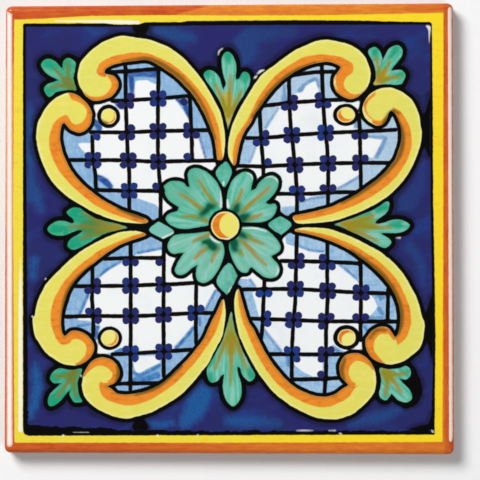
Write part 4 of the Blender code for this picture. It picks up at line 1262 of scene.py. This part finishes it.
@dataclass
class Painting:
    """The painted pattern, worked out as a distance from each kind of mark for every point of the face."""

    scale: float = 1.0041
    centre: tuple[float, float] = (1.09, -1.08)
    lean: tuple[float, float] = (-5.3e-5, 2.9e-5)
    eye_ring: tuple[tuple[float, float], float, float] = ((-0.15, 0.2), 7.6, 7.5)
    fields: dict[str, np.ndarray] = field(default_factory=dict)

    def from_tile(self, points: np.ndarray) -> np.ndarray:
        """Carry millimetres on the tile into the pattern, which the camera's slight tilt stretches."""
        return (points * self.scale + self.centre) / (1 + points @ np.array(self.lean))[:, None]

    def onto_tile(self, points: np.ndarray) -> np.ndarray:
        """Carry the pattern's millimetres onto the tile."""
        spots = points
        for _ in range(4):
            spots = (points * (1 + spots @ np.array(self.lean))[:, None] - self.centre) / self.scale
        return spots

    def paint_scrolls(self, canvas: Canvas) -> None:
        """Lay down the scrolls, their orange hollows and crescents."""
        scroll, shade, ink = canvas.clear(), canvas.clear(), canvas.clear()
        for one in SCROLLS:
            body = canvas.shape(one.outline())
            dark = np.minimum(canvas.shape(one.hollow(), smooth=False), canvas.shape(one.crescent(), smooth=False))
            scroll = np.minimum(scroll, body)
            shade = np.minimum(shade, np.maximum(dark, body))
            ink = joined(ink, body - 1.75)
        shade = np.minimum(shade, np.maximum(canvas.strokes(AMBER_STROKES), scroll))
        self.fields |= {"scroll": scroll, "shade": shade, "ink": ink}

    def paint_leaves(self, canvas: Canvas) -> None:
        """Lay down the leaves, petals, lozenges and their veins."""
        ink = self.fields["ink"]
        for name, group, edge in (("leaf", LEAVES, 2.1), ("petal", PETALS, 1.75)):
            body = canvas.clear()
            for one in group:
                shape = canvas.shape(pairs(one.outline) * one.signs())
                body = np.minimum(body, shape)
                ink = joined(ink, shape - edge)
            self.fields[name] = np.maximum(body, -canvas.ellipse(*self.eye_ring))
        gems = canvas.clear()
        for corners in DIAMONDS:
            gems = np.minimum(gems, canvas.shape(pairs(corners)))
        ink = joined(ink, gems - 1.6)
        veins = []
        for one in LEAVES + PETALS:
            for line in one.veins:
                path = pairs(line) * one.signs()
                widths = np.linspace(0.45, 1.1, len(path))
                veins.append(Stroke(tuple(np.column_stack((path, widths)).ravel())))
        self.fields |= {"gem": gems, "ink": ink, "vein": canvas.strokes(veins)}

    def paint_balls(self, canvas: Canvas) -> None:
        """Lay down the centre ball and the four small balls with their orange crescents."""
        ball, dark, ink = canvas.clear(), canvas.clear(), self.fields["ink"]
        places = [(np.array((a, b)) * quarter.value, *sizes) for quarter, a, b, *sizes in BALLS]
        places.append((np.array(self.eye_ring[0]), 6.25, 6.2, self.eye_ring[1], 2.9, 0.2))
        for centre, wide, tall, ring, *lean in places:
            body = canvas.ellipse(centre, wide, tall)
            crescent = np.maximum(body + 0.09 * wide, -canvas.ellipse(centre + lean, 0.88 * wide, 0.88 * tall))
            ball, dark = np.minimum(ball, body), np.minimum(dark, crescent)
            ink = np.minimum(ink, canvas.ellipse(centre, ring, ring * tall / wide))
        self.fields |= {"ball": ball, "ball_shade": dark, "ink": ink}

    def paint_pale_fields(self, canvas: Canvas) -> None:
        """Lay down the four pale fields between the scrolls, with their blue wash."""
        ground, bare = canvas.clear(), canvas.clear()
        deep: list[Stroke] = []
        for index, one in enumerate(PALE_FIELDS):
            arch, side = SCROLLS[2 * index], SCROLLS[2 * index + 1]
            path = np.vstack((
                pairs((-3, -3, -3, 30)),
                pairs(arch.shade)[::-1],
                (arch.bulb, side.bulb),
                pairs(side.shade),
                pairs((30, -3)),
            ))
            ground = np.minimum(ground, canvas.shape(path * one.quarter.value, smooth=False))
            for patch in one.clear:
                bare = np.minimum(bare, canvas.shape(one.quarter.place(patch), smooth=False))
            deep += [Stroke(line, one.quarter) for line in one.deep]
        self.fields |= {"ground": ground, "wash": -bare, "wash_deep": canvas.strokes(deep)}

    def paint_borders(self, canvas: Canvas) -> None:
        """Lay down the black frame, the yellow and orange bands outside it, and the pale edge strips that carry a
        painted highlight.
        """
        inner, outer, orange = (
            -canvas.shape(pairs(loop), smooth=False) for loop in (FRAME_INNER, FRAME_OUTER, ORANGE_LOOP)
        )
        left, right = (canvas.shape(pairs(strip), smooth=False) for strip in PALE_STRIPS)
        self.fields |= {"frame_inner": inner, "frame_outer": outer, "orange": orange, "strip": np.minimum(left, right)}

    def paint_strokes(self, canvas: Canvas) -> None:
        """Lay down the remaining brush strokes."""
        groups = {
            "deep": DEEP_GREEN,
            "tip": TIPS,
            "pale": PALE_STROKES,
            "rim": CREAM_RIMS,
            "gap": GAPS,
            "olive": OLIVE_STROKES,
            "base": LEAF_WASHES,
            "light": LIGHT_PATCHES,
        }
        for name, strokes in groups.items():
            self.fields[name] = canvas.strokes(strokes)
        self.fields["ink"] = joined(self.fields["ink"], canvas.strokes(INK_STROKES))

    def lattice(self) -> Lattice:
        """Return the trellis lines and dabs on the face, in millimetres."""
        rods = [self.onto_tile(rod) for one in PALE_FIELDS for rod in one.rods()]
        spots = np.vstack([one.spots() for one in PALE_FIELDS] + [np.array([LONE_DABS])])
        return Lattice(rods, self.onto_tile(spots))

    def apply(self, tile: bpy.types.Object) -> None:
        """Store every distance on the tile as a point attribute, in millimetres.

        Args:
            tile: The slab's mesh object.
        """
        mesh = tile.data
        flat = np.empty(len(mesh.vertices) * 3, np.float32)
        mesh.vertices.foreach_get("co", flat)
        canvas = Canvas(self.from_tile(flat.reshape(-1, 3)[:, :2].astype(float) / MM))
        steps = (
            self.paint_scrolls,
            self.paint_leaves,
            self.paint_balls,
            self.paint_pale_fields,
            self.paint_borders,
            self.paint_strokes,
        )
        for step in steps:
            step(canvas)
        for name, values in self.fields.items():
            layer = mesh.attributes.new(name, "FLOAT", "POINT")
            layer.data.foreach_set("value", values.astype(np.float32))


MARKS = (
    "scroll", "shade", "ink", "leaf", "petal", "gem", "vein", "ball", "ball_shade", "ground", "wash", "wash_deep",
    "frame_inner", "frame_outer", "orange", "strip", "deep", "tip", "pale", "rim", "gap", "olive", "base", "light", "trellis",
    "dab",
)


@dataclass(frozen=True)
class PaintedGlaze:
    """The glaze and its painted colours, with the bare clay below the glaze's lip."""

    white: str = "F6F8F7"
    white_grey: str = "EAEDF0"
    wash: str = "7AA9D4"
    wash_light: str = "9FC5E5"
    wash_deep: str = "4488C4"
    dab: str = "25285F"
    dab_blue: str = "1F3F8C"
    trellis: str = "070403"
    indigo: str = "29286A"
    indigo_dark: str = "191738"
    indigo_light: str = "1F5C9E"
    ink: str = "030202"
    yellow: str = "EADF62"
    yellow_pale: str = "F5F1A6"
    orange: str = "F0902C"
    orange_deep: str = "DD7420"
    olive: str = "6A5216"
    leaf: str = "44B592"
    leaf_pale: str = "8ACDBB"
    leaf_strong: str = "0A9F76"
    leaf_dark: str = "005236"
    ochre: str = "86901C"
    border_yellow: str = "F6D733"
    border_red: str = "C64E20"
    border_orange: str = "EA8E30"
    cream: str = "F9E8DA"
    clay: str = "B97B55"
    clay_dark: str = "9A5F3F"
    lip: float = 6.2

    def build(self) -> bpy.types.Material:
        """Write the material.

        Returns:
            The glaze, for the tile's only slot.
        """
        material = bpy.data.materials.new("painted_glaze")
        material.use_nodes = True
        self.graph_of(material)
        return material

    def graph_of(self, material: bpy.types.Material) -> None:
        """Write the nodes: bottom coat first, last brush stroke last.

        Args:
            material: The material that takes them.
        """
        g = Graph(material.node_tree)
        place = g.out("ShaderNodeTexCoord", {}, {}, "Object")
        x, y, z = (place * 1000.0).parts()
        marks = {name: g.out("ShaderNodeAttribute", {"attribute_name": name}, {}, "Fac") for name in MARKS}
        cloud = g.noise(place, 60.0, 4.0, 0.6, 1.0)
        brush = g.noise(place * (1.0, 2.6, 1.0), 240.0, 3.0, 0.6, 2.0)
        streak = g.noise(place * (3.0, 1.0, 1.0), 260.0, 3.0, 0.6, 3.0)
        wobble = (g.noise(place, 420.0, 3.0, 0.6, 4.0) - 0.5) * 0.9
        fine = g.noise(place, 1500.0, 2.0, 0.5, 5.0)

        def mask(name: str, shift: float = 0.0, soft: float = 0.26, wave: float = 0.6) -> Signal:
            """Return 1 inside a mark and 0 outside, with a brushed edge."""
            return g.remap(marks[name] + wobble * wave - shift, soft, -soft)

        def tone(share: Signal, first: str, second: str, low: float = 0.35, high: float = 0.65) -> Signal:
            """Return a colour that wanders between two."""
            return g.mix(g.remap(share, low, high), linear(first), linear(second))

        indigo = tone(cloud, self.indigo, "272C66", 0.4, 0.62)
        swirl = g.noise(g.vector(x * 0.35 + y * 0.12, y - x * 0.35), 0.09, 4.0, 0.62, 13.0)
        indigo = g.mix(g.remap(swirl, 0.5, 0.72, 0.0, 0.75), indigo, linear("223F86"))
        grain = g.noise(place, 900.0, 3.0, 0.7, 15.0)
        patch = g.remap(marks["light"] + (swirl - 0.5) * 9.0 + (streak - 0.5) * 3.0, 2.2, -2.2)
        patch = patch * g.remap(grain, 0.3, 0.6, 0.55, 1.0) * g.remap(y, -50.0, 30.0, 1.0, 0.5)
        patch = patch * g.remap(x, -10.0, 30.0, 1.0, 0.45)
        indigo = g.mix(patch, indigo, linear(self.indigo_light))
        halo = g.remap(marks["ink"] + (swirl - 0.5) * 6.0, 2.6, 0.2, 0.0, 0.7)
        indigo = g.mix(halo, indigo, linear(self.indigo_dark))
        pale = tone(cloud, self.white, self.white_grey, 0.45, 0.8)
        wash = tone(brush, self.wash, self.wash_light, 0.26, 0.6)
        wash = g.mix(g.remap(x, 10.0, -20.0, 0.0, 0.55), wash, linear("7AA9D4"))
        wash = g.mix(g.remap(x, 0.0, 20.0) * g.remap(y, 0.0, 20.0, 0.0, 0.75), wash, linear("B6CFE2"))
        wash = g.mix(g.remap(fine, 0.5, 0.75, 0.0, 0.45), wash, linear("5389C0"))
        pale = g.mix(mask("wash", 0.0, 0.4) * g.remap(streak, 0.25, 0.6, 0.78, 1.0), pale, wash)
        strength = g.remap(brush, 0.25, 0.6, 0.7, 1.0)
        upper_left = g.remap(x, 0.0, -8.0) * g.remap(y, 0.0, 8.0)
        deep = g.mix(upper_left, tone(streak, self.wash_deep, "2C6CB0"), linear("1D4F9E"))
        strength = strength * (1 - g.remap(x, -4.0, 4.0) * g.remap(y, -30.0, 10.0, 0.15, 0.3))
        pale = g.mix(mask("wash_deep", 0.1, 0.6) * strength, pale, deep)
        pale = g.mix(mask("trellis", 0.96, 0.24, 0.3), pale, linear(self.trellis))
        pale = g.mix(mask("dab", 1.75, 0.24, 0.4), pale, tone(cloud, self.dab, self.dab_blue, 0.45, 0.7))
        coat = g.mix(mask("ground", 0.0, 0.2), indigo, pale)
        coat = g.mix(mask("ink", 0.0, 0.26), coat, linear(self.ink))
        coat = self.scrolls(g, mask, tone, marks, coat, brush, cloud)
        coat = self.foliage(g, mask, tone, marks, coat, (x, y), cloud)
        coat = self.borders(g, mask, tone, marks, coat, (x, y), brush, wobble)
        # Painted highlight: the pale edge strips go from pinkish cream at their sides to near white down the middle.
        strip = g.mix(g.remap(marks["strip"] + wobble * 0.4, -0.3, -1.1), linear("F3C6B4"), linear("FFF7F2"))
        # Painted light: the right strip is made lighter still, to stand in for light on the edge that faces away from
        # the key lamp.
        strip = g.mix(g.remap(x, -10.0, 10.0, 0.0, 0.85), strip, linear("FFF0E4"))
        coat = g.mix(mask("strip", 0.0, 0.25, 0.4), coat, strip)
        bare = g.remap(z + wobble, 8.4, 7.4) * g.remap(x.size() - y.size(), -0.3, 0.3)
        coat = g.mix(bare, coat, tone(cloud, self.cream, "FBEFE4"))
        coat = g.mix(mask("pale", 0.0, 0.35, 0.3) * 0.85, coat, linear("F4F4F0"))
        shown = g.remap(z + (g.noise(place, 70.0, 3.0, 0.6, 6.0) - 0.5) * 3.4, self.lip - 0.25, self.lip + 0.25)
        seam = g.remap(z + (g.noise(place, 70.0, 3.0, 0.6, 6.0) - 0.5) * 3.4, self.lip + 1.0, self.lip, 0.0, 0.45)
        coat = g.mix(seam, coat, linear("A97C50"))
        grit = g.noise(place, 900.0, 4.0, 0.7, 7.0)
        clay = g.mix(g.remap(grit, 0.3, 0.7), tone(cloud, self.clay, self.clay_dark), linear("C98F6A"))
        clay = g.mix(g.remap(g.noise(place, 2400.0, 2.0, 0.6, 8.0), 0.66, 0.72, 0.0, 0.6), clay, linear("6E4630"))
        coat = g.mix(shown, clay, coat)
        gloss = 0.12 + brush * 0.1 + g.remap(z, 9.7, 8.4, 0.0, 0.22)
        rough = gloss * shown + (1 - shown) * (0.8 + grit * 0.12)
        height = (cloud * 0.5 + fine * 0.06 - mask("ink", 0.0, 0.8) * 0.12) * shown + (1 - shown) * grit * 0.7
        bump = g.out("ShaderNodeBump", {}, {"Strength": 0.35, "Distance": 0.0003, "Height": height})
        shader = material.node_tree.nodes["Principled BSDF"]
        shader.inputs["IOR"].default_value = 1.5
        shader.inputs["Specular IOR Level"].default_value = 0.28
        g.feed(shader.inputs["Base Color"], coat)
        g.feed(shader.inputs["Roughness"], rough)
        g.feed(shader.inputs["Normal"], bump)

    def scrolls(self, g: Graph, mask: Any, tone: Any, marks: Mapping[str, Signal], coat: Signal, brush: Signal, cloud: Signal) -> Signal:
        """Paint the scrolls and balls.

        Args:
            g: The material's graph.
            mask: Gives a mark's inside.
            tone: Gives a wandering colour.
            marks: The distances.
            coat: The colour underneath.
            brush: Brush noise.
            cloud: Broad noise.

        Returns:
            The colour with the scrolls on it.
        """
        yellow = tone(cloud, self.yellow, "E2DF66", 0.4, 0.7)
        yellow = g.mix(g.remap(brush, 0.4, 0.75, 0.0, 0.35), yellow, linear("F4EC8C"))
        edge = g.remap(marks["scroll"] + (brush - 0.5) * 1.6, -1.3, -0.1)
        yellow = g.mix(edge * 0.7, yellow, linear(self.yellow_pale))
        orange = tone(brush, self.orange, self.orange_deep, 0.45, 0.75)
        shaded = mask("shade", 0.0, 0.4, 0.8)
        body = g.mix(shaded, yellow, orange)
        body = g.mix(g.remap(marks["scroll"], -1.3, 0.1, 0.0, 0.6) * shaded, body, linear("A05C14"))
        body = g.mix(mask("olive", 0.1, 0.8) * 0.85, body, linear(self.olive))
        body = g.mix(mask("rim", 0.0, 0.3), body, linear(self.yellow_pale))
        coat = g.mix(mask("scroll"), coat, body)
        ball = g.mix(g.remap(marks["ball"], -0.9, 0.0), tone(cloud, "EFE36A", "F3EB86"), linear("F7E8A8"))
        ball = g.mix(mask("ball_shade", 0.0, 0.3), ball, tone(brush, self.orange, self.orange_deep))
        ball = g.mix(mask("olive", 0.1, 0.8) * 0.85, ball, linear(self.olive))
        return g.mix(mask("ball"), coat, ball)

    def foliage(
        self,
        g: Graph,
        mask: Any,
        tone: Any,
        marks: Mapping[str, Signal],
        coat: Signal,
        spot: tuple[Signal, Signal],
        cloud: Signal,
    ) -> Signal:
        """Paint the leaves, petals and lozenges.

        Args:
            g: The material's graph.
            mask: Gives a mark's inside.
            tone: Gives a wandering colour.
            marks: The distances.
            coat: The colour underneath.
            spot: Place across and up the tile, in millimetres.
            cloud: Broad noise; not used.

        Returns:
            The colour with the foliage on it.
        """
        x, y = spot
        heart = g.vector(x + 1.24, y - 1.27)
        radius = heart.length()
        heading = g.normalized(heart)
        near_rays = g.noise(heading + g.vector(0.0, 0.0, radius * 0.004), 13.0, 3.0, 0.6, 9.0)
        far_rays = g.noise(heading + g.vector(0.0, 0.0, radius * 0.0015), 56.0, 3.0, 0.6, 10.0)
        far = g.remap(radius, 32.0, 36.0)
        rays = near_rays * (1 - far) + far_rays * far
        green = tone(rays, self.leaf, self.leaf_pale, 0.32, 0.66)
        mottle = g.noise(g.vector(x, y), 0.32, 3.0, 0.6, 14.0)
        green = g.mix(g.remap(mottle, 0.45, 0.7, 0.0, 0.45) * (1 - far), green, linear("96CACC"))
        crown = g.remap(y, 3.0, 12.0, 0.0, 0.6) * g.remap(radius, 15.0, 24.0) * g.remap(x.size(), 8.0, 14.0)
        green = g.mix(crown * (1 - far), green, linear("55AC8C"))
        green = g.mix(g.remap(y, 0.0, -6.0, 0.0, 0.35) * (1 - far), green, linear("9CCBBD"))
        inside = marks["leaf"].at_most(marks["petal"]).at_most(marks["gem"])
        rim = g.remap(inside + (rays - 0.5) * 2.0, -1.5, 0.0)
        green = g.mix(rim * (0.6 - far * 0.35), green, linear("3FB08E"))
        bark = g.mix(g.remap(x, -48.0, -62.0, 0.0, 0.7), tone(rays, self.ochre, "AE8416"), linear("5E7C38"))
        gem = g.mix(g.remap(x, -28.0, -20.0), linear("83C6BA"), tone(mottle, "47AC90", "6FC0AE", 0.35, 0.65))
        green = g.mix(mask("gem") * 0.8, green, gem)
        lush = g.remap(x, -40.0, -56.0) * g.remap(mottle, 0.3, 0.55, 0.9, 0.45)
        green = g.mix(lush, green, linear("0C9A68"))
        green = g.mix(mask("tip", 0.2, 1.4) * 0.85, green, linear(self.leaf_strong))
        earth = g.mix(g.remap(x, -45.0, -60.0), linear("8C9A38"), linear("4E8444"))
        earth = g.mix(g.remap(y, 30.0, 45.0) * g.remap(x, -45.0, -30.0), earth, linear("C6AE38"))
        green = g.mix(mask("base", 0.4, 1.8) * 0.88, green, earth)
        green = g.mix(mask("vein", 0.2, 0.85, 1.1) * 0.9, green, bark)
        green = g.mix(mask("deep", 1.0, 1.6, 1.6) * 0.75, green, linear("169470"))
        green = g.mix(mask("deep", -0.1, 0.9, 1.6) * 0.95, green, linear(self.leaf_dark))
        shape = mask("leaf").at_least(mask("petal")).at_least(mask("gem"))
        return g.mix(shape, coat, green)

    def borders(
        self,
        g: Graph,
        mask: Any,
        tone: Any,
        marks: Mapping[str, Signal],
        coat: Signal,
        spot: tuple[Signal, Signal],
        brush: Signal,
        wobble: Signal,
    ) -> Signal:
        """Paint the black frame and the yellow and orange bands.

        Args:
            g: The material's graph.
            mask: Gives a mark's inside.
            tone: Gives a wandering colour.
            marks: The distances.
            coat: The colour underneath.
            spot: Place across and up the tile, in millimetres.
            brush: Brush noise.
            wobble: Edge noise.

        Returns:
            The colour with the borders on it.
        """
        x, y = spot
        frayed = (brush - 0.5) * g.remap(y, -70.0, -88.0, 0.0, 3.4)
        coat = g.mix(g.remap(marks["frame_inner"] + wobble * 0.6 + frayed, 0.3, -0.3), coat, linear(self.ink))
        sunny = g.mix(g.remap(x, -60.0, 70.0), linear("F2DD44"), linear("FDDD2A"))
        sunny = g.mix(g.remap(brush, 0.5, 0.85, 0.0, 0.8), sunny, linear("F3BE2C"))
        coat = g.mix(mask("frame_outer", 0.0, 0.22), coat, sunny)
        coat = g.mix(mask("gap", 0.0, 0.4), coat, linear("F8F4DE"))
        slant = x + 20.2 - (y - 96.1) * 3.37
        upper = g.remap(slant + wobble * 3.0, 3.0, -3.0)
        lower = g.remap(x + brush * 20.0, -70.0, 60.0, 0.95, 0.3)
        top = g.remap(y, -1.0, 1.0)
        right = g.remap(x, 95.0, 95.9, 0.0, 0.9)
        corner = g.remap(x, 60.0, 94.0) * g.remap(y, 95.6, 96.6, 0.0, 0.6)
        red = (upper * top + lower * (1 - top)).at_least(right).at_least(corner)
        across = g.remap(x.size() - y.size(), -0.3, 0.3)
        place = g.vector(x, y)
        hair = g.noise(place * (0.12, 1.0, 1.0), 0.9, 3.0, 0.6, 11.0) * (1 - across)
        hair = hair + g.noise(place * (1.0, 0.12, 1.0), 0.9, 3.0, 0.6, 12.0) * across
        share = (red * 0.85 + (hair - 0.5) * 1.5 + 0.08).unit()
        band = g.mix(share, tone(brush, self.border_orange, "E07E2E"), tone(brush, self.border_red, "D05A28"))
        return g.mix(mask("orange", 0.0, 0.3), coat, band)


@dataclass(frozen=True)
class Softbox:
    """A soft square light."""

    name: str
    place: tuple[float, float, float]
    side: float
    power: float
    tint: Paint = (1.0, 1.0, 1.0)

    def hang(self) -> None:
        """Put the light in the scene, turned to the tile."""
        lamp = bpy.data.lights.new(self.name, "AREA")
        lamp.shape = "SQUARE"
        lamp.size = self.side
        lamp.energy = self.power
        lamp.color = self.tint
        holder = bpy.data.objects.new(self.name, lamp)
        holder.location = self.place
        holder.rotation_euler = (-Vector(self.place)).to_track_quat("-Z", "Y").to_euler()
        bpy.context.scene.collection.objects.link(holder)


@dataclass
class Studio:
    """The pale floor, the soft lights and the camera above the tile."""

    eye: tuple[float, float, float] = (0.0523, -0.0286, 1.0)
    target: tuple[float, float, float] = (0.0, 0.0, 0.010)
    lens: float = 167.5
    shift: tuple[float, float] = (0.0251, -0.0242)
    floor_half: float = 1.6
    lights: tuple[Softbox, ...] = (
        Softbox("key", (-1.05, 1.2, 1.72), 1.0, 52.5),
        Softbox("fill", (1.45, -1.5, 1.9), 1.3, 22.0, (0.93, 0.97, 1.0)),
    )

    def floor_material(self) -> bpy.types.Material:
        """Make the floor's paper.

        Returns:
            The material.
        """
        material = bpy.data.materials.new("studio_paper")
        material.use_nodes = True
        g = Graph(material.node_tree)
        place = g.out("ShaderNodeTexCoord", {}, {}, "Object")
        grain = g.noise(place, 240.0, 3.0)
        shader = material.node_tree.nodes["Principled BSDF"]
        shader.inputs["Roughness"].default_value = 0.9
        g.feed(shader.inputs["Base Color"], g.mix(grain, linear("F6F6F6"), linear("FAFAFA")))
        bump = g.out("ShaderNodeBump", {}, {"Strength": 0.05, "Distance": 0.0002, "Height": grain})
        g.feed(shader.inputs["Normal"], bump)
        return material

    def lay_floor(self) -> None:
        """Put the floor just under the tile's back."""
        h = self.floor_half
        mesh = bpy.data.meshes.new("studio_floor")
        mesh.from_pydata([(-h, -h, 0.0), (h, -h, 0.0), (h, h, 0.0), (-h, h, 0.0)], [], [(0, 1, 2, 3)])
        mesh.materials.append(self.floor_material())
        floor = bpy.data.objects.new("studio_floor", mesh)
        bpy.context.scene.collection.objects.link(floor)

    def set_camera(self) -> None:
        """Point the camera down at the tile, with the pattern's up as the picture's up."""
        data = bpy.data.cameras.new("camera")
        data.lens = self.lens
        data.shift_x, data.shift_y = self.shift
        camera = bpy.data.objects.new("camera", data)
        forward = (Vector(self.target) - Vector(self.eye)).normalized()
        right = forward.cross(Vector((0.0, 1.0, 0.0))).normalized()
        upward = right.cross(forward)
        turn = Matrix((right, upward, -forward)).transposed().to_4x4()
        camera.matrix_world = Matrix.Translation(self.eye) @ turn
        bpy.context.scene.collection.objects.link(camera)
        bpy.context.scene.camera = camera

    def build(self) -> None:
        """Set up the floor, the lights, the dim surround and the camera."""
        scene = bpy.context.scene
        world = bpy.data.worlds.new("surround")
        world.use_nodes = True
        world.node_tree.nodes["Background"].inputs["Color"].default_value = (1.0, 1.0, 1.0, 1.0)
        world.node_tree.nodes["Background"].inputs["Strength"].default_value = 0.14
        scene.world = world
        scene.view_settings.view_transform = "Standard"
        self.lay_floor()
        for light in self.lights:
            light.hang()
        self.set_camera()


@dataclass
class PaintedTile:
    """The whole tile: slab, painted distances, lattice and glaze."""

    painting: Painting = field(default_factory=Painting)
    glaze: PaintedGlaze = field(default_factory=PaintedGlaze)

    def build(self) -> bpy.types.Object:
        """Make the tile and hand it to the frame.

        Returns:
            The finished piece.
        """
        low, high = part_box("tile")
        material = self.glaze.build()
        tile = Slab(tuple(low), tuple(high)).build(material)
        LOG.info("slab: %d triangles", len(tile.data.polygons))
        self.painting.apply(tile)
        LOG.info("painting: %d kinds of mark", len(self.painting.fields))
        lattice = self.painting.lattice()
        lattice.lay(tile, material)
        LOG.info("lattice: %d lines, %d dabs", len(lattice.rods), len(lattice.dabs))
        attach(tile, "root")
        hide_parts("tile")
        return tile


def main() -> None:
    """Build the tile and its studio."""
    logging.basicConfig(level=logging.INFO, format="%(name)s: %(message)s")
    tile = PaintedTile().build()
    LOG.info("tile: %s, %d layers of marks", tile.name, len(tile.data.attributes))
    studio = Studio()
    studio.build()
    LOG.info("studio: floor, %d lights, camera", len(studio.lights))


if __name__ == "__main__":
    main()
